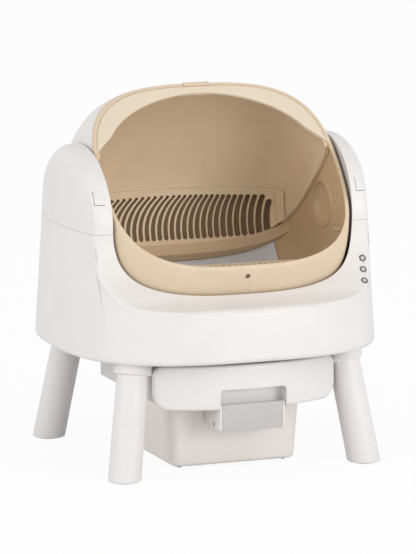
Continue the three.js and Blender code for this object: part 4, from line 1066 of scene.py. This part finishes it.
# legs, collars and pads
legs = {
    "top": (0.197, 0.168), "foot": (0.228, 0.203), "topRadius": 0.028, "footRadius": 0.0295,
    "stand": 0.0015, "overrun": 0.04, "intoCollar": 0.008, "footRound": 0.003,
    "collarRadius": 0.034, "collarHeight": 0.025, "collarOver": 0.03, "collarRound": 0.0022,
    "collarDeep": 0.009, "padRadius": 0.022, "padThick": 0.003, "padRing": (0.003, 0.001, 0.0008),
    "padRoundFrom": 0.0215, "padRound": 0.0006,
}
k = legs
legTop = base["bottom"] - seatGap
for i, name in enumerate(("front_left", "front_right", "rear_left", "rear_right")):
    sideX, sideY = (-1, 1)[i % 2], (-1, -1, 1, 1)[i]
    top = Vector((sideX * k["top"][0], sideY * k["top"][1], legTop))
    foot = Vector((sideX * k["foot"][0], sideY * k["foot"][1], 0))
    along = (top - foot).normalized()
    collarFoot = top - along * k["collarHeight"]
    legEnd = collarFoot + along * k["intoCollar"]
    legStart = foot - along * k["overrun"]
    leg = bar("leg_" + name + "_tube", legStart, legEnd, k["footRadius"], k["topRadius"], 72)
    cutPast(leg, (0, 0, k["stand"]), (0, 0, -1))
    bevelWhere(leg, lambda a, b: max(a.z, b.z) < k["stand"] + touch, k["footRound"])
    finished(leg, "base", "white_plastic", ["leg_" + name], "legPlastic")
    collarEnd = top + along * k["collarOver"]
    collar = bar("collar_" + name, collarFoot, collarEnd, k["collarRadius"], sides=72)
    cutPast(collar, (0, 0, legTop), (0, 0, 1))
    bevelWhere(
        collar, lambda *ends: max((end - collarFoot).dot(along) for end in ends) < touch,
        k["collarRound"],
    )
    choose(collar, lambda centre, normal: normal.dot(along) < -facing, "FACE")
    bpy.ops.mesh.inset(
        thickness=k["collarRadius"] - k["collarRound"] - k["topRadius"] - seatGap * 2
    )
    bpy.ops.mesh.extrude_region_move(TRANSFORM_OT_translate={"value": along * k["collarDeep"]})
    doneEditing()
    finished(collar, "base", "white_plastic", ["leg_collar_" + name], "legPlastic")
    padTop = foot + Vector((0, 0, k["padThick"]))
    pad = bar("pad_" + name, foot, padTop, k["padRadius"], sides=64)
    choose(pad, lambda centre, normal: normal.z < -facing, "FACE")
    land, slope, deep = k["padRing"]
    for rise in (deep, -deep, deep, -deep):  # two rings are sunk into the sole
        bpy.ops.mesh.inset(thickness=land)
        bpy.ops.mesh.inset(thickness=slope)
        bpy.ops.transform.translate(value=(0, 0, rise))
    doneEditing()
    bevelWhere(pad, lambda a, b: a.z < touch and min(
        (a - foot).xy.length, (b - foot).xy.length
    ) > k["padRoundFrom"], k["padRound"], 3)
    finished(pad, "base", "rubber", ["foot_pad_" + name], "softRubber")
print("legs made")


# waste chute housing under the floor
housing = {
    "halfWidth": 0.160, "front": -0.188, "rear": 0.112, "bottom": 0.129, "wall": 0.0035,
    "runner": 0.016, "runnerThick": 0.004, "rearRound": 0.006, "edge": 0.0008,
}
h = housing
housingTop = base["bottom"] - seatGap
case = wideBlock(
    "chute_housing_case", h["halfWidth"], h["front"], h["rear"], h["bottom"], housingTop
)
bevelWhere(case, lambda a, b: abs(a.z - b.z) > h["wall"] and a.y > 0, h["rearRound"], 5)
rear, top, runnerTop = h["rear"] - h["wall"], housingTop - h["wall"], h["bottom"] + h["runnerThick"]
carve(
    case,
    wideBlock("inside", h["halfWidth"] - h["wall"], -far, rear, runnerTop, top),
    wideBlock("below", h["halfWidth"] - h["runner"], -far, rear, near, top),
    chuteCut(),
)
roundEdges(case, h["edge"], 2, 60)
finished(case, "base", "white_plastic", ["chute_housing"], "whitePlastic")


# drawer front with its finger notch
fascia = {
    "halfWidth": 0.172, "front": 0.247, "end": 0.197, "rear": 0.194, "top": 0.202,
    "bottom": 0.121, "lowCorner": 0.027, "highCorner": 0.021, "leastCorner": 0.002,
    "cornerSteps": 12, "sideSteps": 12, "flatSteps": 26, "wall": 0.004, "edge": 0.0065,
    "innerEdge": 0.0045, "innerRear": 0.174, "spineEnd": 0.04, "trim": 0.0003,
    "notchHalf": 0.0625, "notchTop": 0.158, "notchCorner": 0.008, "notchDepth": 0.215,
    "notchWall": 0.0035, "notchFront": -0.3,
}
f = fascia


def fasciaOutline(inset):
    side, low, high = f["halfWidth"] - inset, f["bottom"] + inset, f["top"] - inset
    flatEnd = f["halfWidth"] - f["lowCorner"]
    small, large = (max(f[key] - inset, f["leastCorner"]) for key in ("highCorner", "lowCorner"))
    arcs = cornerArcs((
        (side - large, low + large, large, -math.pi / 2), (side - small, high - small, small, 0),
        (-side + small, high - small, small, math.pi / 2),
        (-side + large, low + large, large, math.pi),
    ), f["cornerSteps"])
    outline = []
    for here, there in zip(arcs, arcs[1:] + arcs[:1]):
        outline.extend(here)
        (x, z), nextEnd = here[-1], there[0]
        if abs(z - nextEnd[1]) < touch:  # the long edges share their steps above and below
            ends = (math.copysign(flatEnd, x), z), (-math.copysign(flatEnd, x), z)
            outline.extend(np.linspace(*ends, f["flatSteps"]))
        else:
            outline.extend(np.linspace(here[-1], nextEnd, f["sideSteps"])[1:-1])
    return np.array(outline)


def fasciaForm(name, inset, edge, rear):
    span = f["front"] - f["end"]
    radius = (f["halfWidth"] ** 2 + span ** 2) / (2 * span)
    middle = (f["top"] + f["bottom"]) / 2
    spineEnd = f["halfWidth"] - f["spineEnd"]

    def front(plan):  # the bow of the front, seen from above
        x = np.minimum(np.abs(plan[:, 0]), f["halfWidth"] - inset)
        return radius - f["front"] - np.sqrt((radius - inset) ** 2 - x ** 2)

    def row(plan, y):
        return np.stack([plan[:, 0], np.broadcast_to(y, len(plan)), plan[:, 1]], axis=1)

    def shrunk(plan, share):  # towards the spine, a line along the middle
        x = np.clip(plan[:, 0], -spineEnd, spineEnd)
        return plan * (1 - share) + np.stack([x, np.full_like(x, middle)], axis=1) * share

    outline, last = fasciaOutline(inset), fasciaOutline(inset + edge)
    rows = [row(shrunk(outline, share), -rear) for share in (1, 0.5, 0)]
    for share in (0.25, 0.5, 0.75, 1):
        rows.append(row(outline, -rear * (1 - share) + (front(outline) + edge) * share))
    for inward, down in quarter(7)[1:]:
        plan = fasciaOutline(inset + edge * inward)
        rows.append(row(plan, front(plan) + edge * down))
    for share in np.linspace(0, 1, 9)[1:]:
        plan = shrunk(last, share)
        rows.append(row(plan, front(plan)))
    return loft(name, np.stack(rows))


face = fasciaForm("drawer_fascia_front", 0, f["edge"], f["rear"])
carve(face, fasciaForm("inside", f["wall"], f["innerEdge"], f["innerRear"]))
notchOuter = f["notchHalf"] + f["notchWall"]
notchBack = -f["notchDepth"] + f["notchWall"]
notchBox = wideBlock(
    "notchBox", notchOuter, -f["front"], notchBack, f["bottom"], f["notchTop"] + f["notchWall"]
)
keepInside(notchBox, fasciaForm("trim", f["trim"], f["edge"], f["innerRear"]))
fuse(face, notchBox)
notch = wideBlock("notch", f["notchHalf"], f["notchFront"], -f["notchDepth"], near, f["notchTop"])
bevelWhere(
    notch, lambda a, b: min(a.z, b.z) > f["notchTop"] - touch and abs(a.y - b.y) > touch,
    f["notchCorner"], 8,
)
carve(face, notch)
finished(face, "drawer", "white_plastic", ["drawer_fascia"], "whitePlastic")
print("housing and fascia made")


# waste bin
binForm = {
    "topHalf": 0.126, "footHalf": 0.117, "front": -0.160, "rear": 0.092, "footFront": -0.152,
    "footRear": 0.086, "bottom": 0.005, "top": 0.1459, "rim": 0.1489, "rimSoft": 0.001,
    "wall": 0.003, "corner": 0.018, "leastCorner": 0.003, "flange": 0.010, "foot": 0.008,
    "spine": (-0.08, 0.02), "cornerSteps": 10, "flatSteps": 6,
    "restX": 0.099, "restY": -0.134, "restFoot": 0.0016, "restTop": 0.0062, "restRadius": 0.004,
    "restRound": 0.0008,
}
b = binForm


def binRing(z, inset=0.0, shrink=0.0):
    share = (b["top"] - z) / (b["top"] - b["bottom"])
    wide = b["topHalf"] - inset
    front, rear = b["front"] + inset, b["rear"] - inset
    radius = max(b["corner"] - inset, b["leastCorner"])
    middle = (b["front"] + b["rear"]) / 2
    narrowX = 1 + (b["footHalf"] / b["topHalf"] - 1) * share
    narrowY = 1 + ((b["footRear"] - b["footFront"]) / (b["rear"] - b["front"]) - 1) * share
    arcs = cornerArcs((
        (wide - radius, rear - radius, radius, 0),
        (-wide + radius, rear - radius, radius, math.pi / 2),
        (-wide + radius, front + radius, radius, math.pi),
        (wide - radius, front + radius, radius, math.pi * 1.5),
    ), b["cornerSteps"])
    outline = []
    for here, there in zip(arcs, arcs[1:] + arcs[:1]):
        outline.extend(here)
        outline.extend(np.linspace(here[-1], there[0], b["flatSteps"])[1:-1])
    x, y = np.array(outline).T
    x, y = x * (1 - shrink), y * (1 - shrink) + np.clip(y, *b["spine"]) * shrink
    return np.stack([x * narrowX, middle + (y - middle) * narrowY, np.full(len(x), z)], axis=1)


def tubFloor(bottom, inset):  # from the middle of a floor out to its rounded edge
    rings = [binRing(bottom, inset + b["foot"], shrink) for shrink in (1, 0.5)]
    for inward, down in quarter(6):
        rings.append(binRing(bottom + b["foot"] * inward, inset + b["foot"] * down))
    return rings


innerFloor = b["bottom"] + b["wall"]
rows = tubFloor(b["bottom"], 0)
rows += [binRing(z) for z in np.linspace(b["bottom"] + b["foot"], b["top"], 7)[1:]]
flangeOut = b["rimSoft"] - b["flange"]
rows.append(binRing(b["top"], flangeOut))
half = (b["rim"] - b["top"]) / 2
for turn in np.linspace(0, math.pi, 6):
    z = b["top"] + half - half * math.cos(turn)
    rows.append(binRing(z, flangeOut - b["rimSoft"] * math.sin(turn)))
rows.append(binRing(b["rim"], b["wall"] - b["rimSoft"]))
wallTop = b["rim"] - b["rimSoft"]
rows += [binRing(z, b["wall"]) for z in np.linspace(wallTop, innerFloor + b["foot"], 7)]
rows += tubFloor(innerFloor, b["wall"])[-2::-1]
tub = loft("waste_bin_tub", np.stack(rows))
finished(tub, "drawer", "white_plastic", ["waste_bin"], "binPlastic")
for side, word in hands:
    x, y = side * b["restX"], b["restY"]
    rest = bar(
        word + "_bin_rest", (x, y, b["restFoot"]), (x, y, b["restTop"]), b["restRadius"], sides=32
    )
    roundEdges(rest, b["restRound"])
    finished(rest, "drawer", "dark_plastic", [word + "_bin_foot"], "darkPlastic")

rack = {
    "halfWidth": 0.155, "front": -0.25, "rear": 0.104, "bottom": 0.1336, "top": 0.1456,
    "opening": 0.129, "openingGap": 0.003, "edge": 0.0008, "trimRear": -0.3, "above": 0.2,
}
r = rack
rackPiece = wideBlock("drawer_rack", r["halfWidth"], r["front"], r["rear"], r["bottom"], r["top"])
front, rear = b["front"] - r["openingGap"], b["rear"] + r["openingGap"]
carve(
    rackPiece,
    wideBlock("opening", r["opening"], front, rear, near, r["above"]),
    wideBlock(
        "notchRoom", notchOuter + seatGap, f["notchFront"], notchBack + seatGap, near, r["above"]
    ),
)
trim = fasciaForm("rackTrim", f["wall"] + seatGap, f["innerEdge"], r["trimRear"])
roundEdges(keepInside(rackPiece, trim), r["edge"], 2, 60)
finished(rackPiece, "drawer", "white_plastic", ["drawer_frame"], "binPlastic")
print("bin and rack made")


# handle on the bin
handle = {
    "plateHalf": 0.057, "front": -0.236, "top": 0.129, "bottom": 0.081, "thick": 0.004,
    "wall": 0.0035, "corner": 0.003, "edge": 0.0008, "cheekBottom": 0.084, "cheekRear": -0.163,
    "cheekRearTop": 0.108, "bendDepth": -0.217, "bendHeight": 0.117, "topDepth": -0.221,
    "cheekCorner": 0.0025, "cheekEdge": 0.0006, "backOver": 0.001, "backIn": 0.0004,
    "earOuter": 0.055, "earThick": 0.005, "earRadius": 0.008, "mountTop": 0.104,
    "mountFront": 0.007, "mountRear": 0.004, "pinY": -0.206, "pinZ": 0.090, "pinRadius": 0.003,
    "pinHalf": 0.0623, "pinRound": 0.0006, "binRoom": (0.06, 0.12),
}
g = handle
front, back = g["front"], g["front"] + g["thick"]
plate = wideBlock("handle_plate_face", g["plateHalf"], front, back, g["bottom"], g["top"])
bevelWhere(plate, lambda a, b: abs(a.y - b.y) > g["thick"] / 2, g["corner"], 5)
roundEdges(plate, g["edge"])
finished(plate, "handle", "grey_plastic", ["handle_plate"], "greyPlastic")


def pinBar(name, half, radius):
    return crossBar(name, -half, half, g["pinY"], g["pinZ"], radius)


cheeks = []
cheekOutline = [
    (front, g["cheekBottom"]), (g["cheekRear"], g["cheekBottom"]),
    (g["cheekRear"], g["cheekRearTop"]), (g["bendDepth"], g["bendHeight"]),
    (g["topDepth"], g["top"]), (front, g["top"]),
]
for side, _ in hands:
    inner = side * (g["plateHalf"] + seatGap)
    sides = sorted((inner, inner + side * g["wall"]))
    rings = np.array([[(x, y, z) for y, z in cheekOutline] for x in sides])
    cheek = loft("handle_side_frame", rings, endCaps=True)
    bevelWhere(cheek, lambda a, b: abs(a.x - b.x) > g["wall"] / 2, g["cheekCorner"])
    cheeks.append(roundEdges(cheek, g["cheekEdge"], 2))
backPlate = wideBlock(
    "back", g["plateHalf"] + g["backOver"], back + seatGap, back + seatGap + g["wall"],
    g["cheekBottom"] + g["backIn"], g["top"] - g["backIn"],
)
frameBody = fuse(cheeks[0], backPlate, cheeks[1])
carve(frameBody, pinBar("bore", near, g["pinRadius"] + seatGap))
finished(frameBody, "handle", "white_plastic", ["handle_frame"], "whitePlastic")

low, high = g["pinZ"] - g["earRadius"], g["pinZ"] + g["earRadius"]
mount = wideBlock(
    "handle_mount", g["earOuter"], b["front"] - g["mountFront"], b["front"] + g["mountRear"],
    low, g["mountTop"],
)
for side, _ in hands:
    sides = sorted((side * (g["earOuter"] - g["earThick"]), side * g["earOuter"]))
    ear = block("ear", *sides, g["pinY"], b["front"], low, high)
    fuse(ear, crossBar("knob", *sides, g["pinY"], g["pinZ"], g["earRadius"], 48))
    fuse(mount, ear)
rings = np.stack([binRing(z, -seatGap) for z in g["binRoom"]])
carve(mount, loft("binRoom", rings, endCaps=True))
carve(mount, pinBar("bore", near, g["pinRadius"] + seatGap))
roundEdges(mount, g["cheekEdge"], 2, 50)
finished(mount, "drawer", "white_plastic", ["handle_bracket"], "whitePlastic")
pin = roundEdges(pinBar("handle_pivot_pin", g["pinHalf"], g["pinRadius"]), g["pinRound"])
finished(pin, "drawer", "steel", ["handle_pin"], "brushedSteel")
print("handle made")


# power inlet at the back
s = inletSpot


def backWall(x, inset):  # how far back the base's wall stands at the inlet's height
    wide, deep = ovalHalf(s["z"], inset)
    return deep * float(ovalShare(x / wide))


low, high = s["x"] - s["halfWidth"], s["x"] + s["halfWidth"]
foot, top = s["z"] - s["halfHeight"], s["z"] + s["halfHeight"]
skinY, backY = backWall(s["x"], 0), backWall(high, s["backInset"])
inlet = block("power_inlet_body", low, high, backY - s["deep"], backY, s["foot"], top)
nose = block("nose", low + touch, high - touch, backY - s["noseDeep"], skinY, foot, top - touch)
bevelWhere(nose, lambda a, b: abs(a.y - b.y) > touch, s["noseRound"])
fuse(inlet, nose)


def inletBar(name, start, end, radius, sides):
    return bar(name, (s["x"], start, s["z"]), (s["x"], end, s["z"]), radius, sides=sides)


carve(inlet, inletBar("socket", skinY - s["socketDeep"], s["socketEnd"], s["socket"], 40))
pin = inletBar("power_inlet_pin", skinY - s["pinFoot"], skinY - s["pinTip"], s["pin"], 24)
roundEdges(pin, s["pinRound"])
finished(inlet, "base", "dark_plastic", ["power_inlet"], "darkPlastic")
finished(pin, "base", "steel", [], "brushedSteel")


# the parts kept from the frame
kept = {
    "base_floor": "whitePlastic", "chute_funnel": "whitePlastic",
    "left_bearing_bracket": "darkPlastic", "right_bearing_bracket": "darkPlastic",
    "left_hub_bush": "greyPlastic", "right_hub_bush": "greyPlastic", "drum_gear": "greyPlastic",
    "gearmotor": "brushedSteel", "pinion": "brushedSteel", "control_board": "boardGreen",
    "status_light": "linerWhite",
}
for name, finishName in kept.items():
    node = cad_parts[name]
    node.data.materials.clear()
    node.data.materials.append(finishes[finishName])
print("kept parts dressed:", len(kept))


# stage, lights and camera
studio = {
    "floorSize": 60, "white": (0.90, 0.90, 0.90, 1), "cameraShare": 0.93,
    "plainWhite": (1, 1, 1, 1), "sky": (1.0, 0.995, 0.985, 1), "skyStrength": 0.72,
}
deselectAll()
bpy.ops.mesh.primitive_plane_add(size=studio["floorSize"], location=(0, 0, 0))
floor = named("studio_floor")
paint = Finish("studioFloor")
paint.wear(Base_Color=studio["white"], Roughness=1.0, Specular_IOR_Level=0.0)
glow = paint.node("Emission", inputs={"Color": studio["plainWhite"]})
seen = paint.node("LightPath", output="Is Camera Ray") * studio["cameraShare"]
matt = Value(paint, paint.shader.outputs[0])
mixed = paint.node("MixShader", inputs={0: seen, 1: matt, 2: glow})
paint.put(paint.tree.nodes["Material Output"].inputs["Surface"], mixed)
floor.data.materials.append(paint.material)

world = bpy.data.worlds.new("studioWorld")
bpy.context.scene.world = world
world.use_nodes = True
sky = Nodes(world.node_tree)
dim = sky.node("Background", inputs={"Color": studio["sky"], "Strength": studio["skyStrength"]})
plain = sky.node("Background", inputs={"Color": studio["plainWhite"], "Strength": 1.0})
seen = sky.node("LightPath", output="Is Camera Ray")
for ray in ("Is Glossy Ray", "Is Transmission Ray"):
    seen = seen.calc("MAXIMUM", seen, sky.node("LightPath", output=ray))
mixed = sky.node("MixShader", inputs={0: seen, 1: dim, 2: plain})
sky.put(sky.tree.nodes["World Output"].inputs["Surface"], mixed)

lamps = {  # place, what it points at, size, watts
    "keyLamp": ((1.2, -2.4, 2.6), (0, 0, 0.35), 1.6, 9),
    "frontLamp": ((1.2, -3.0, 0.8), (0, 0, 0.42), 1.1, 27),
    "sideLamp": ((-3.1, -0.7, 1.1), (0, 0, 0.35), 1.8, 25),
}
view = {
    "azimuth": math.radians(-21.35), "elevation": math.radians(9.73), "distance": 7.0,
    "target": (0.0079, 0, 0.3155), "lens": 252.4, "sensor": 36, "clipEnd": 100,
}


def placed(name, data, place, aim):  # a lamp or the camera, turned to what it points at
    item = bpy.data.objects.new(name, data)
    item.location = place
    item.rotation_euler = (Vector(aim) - Vector(place)).to_track_quat("-Z", "Y").to_euler()
    bpy.context.scene.collection.objects.link(item)
    return item


for name, (place, aim, size, watts) in lamps.items():
    lampData = bpy.data.lights.new(name, "AREA")
    lampData.energy = watts
    lampData.size = size
    placed(name, lampData, place, aim)

azimuth, elevation = view["azimuth"], view["elevation"]
level = math.cos(elevation)
towards = Vector((math.sin(azimuth) * level, -math.cos(azimuth) * level, math.sin(elevation)))
cameraData = bpy.data.cameras.new("camera")
cameraData.lens = view["lens"]
cameraData.sensor_width = view["sensor"]
cameraData.clip_end = view["clipEnd"]
cameraData.dof.use_dof = False
target = Vector(view["target"])
camera = placed("camera", cameraData, target + towards * view["distance"], target)
bpy.context.scene.camera = camera
bpy.context.scene.view_settings.view_transform = "Standard"

print("scene ready")
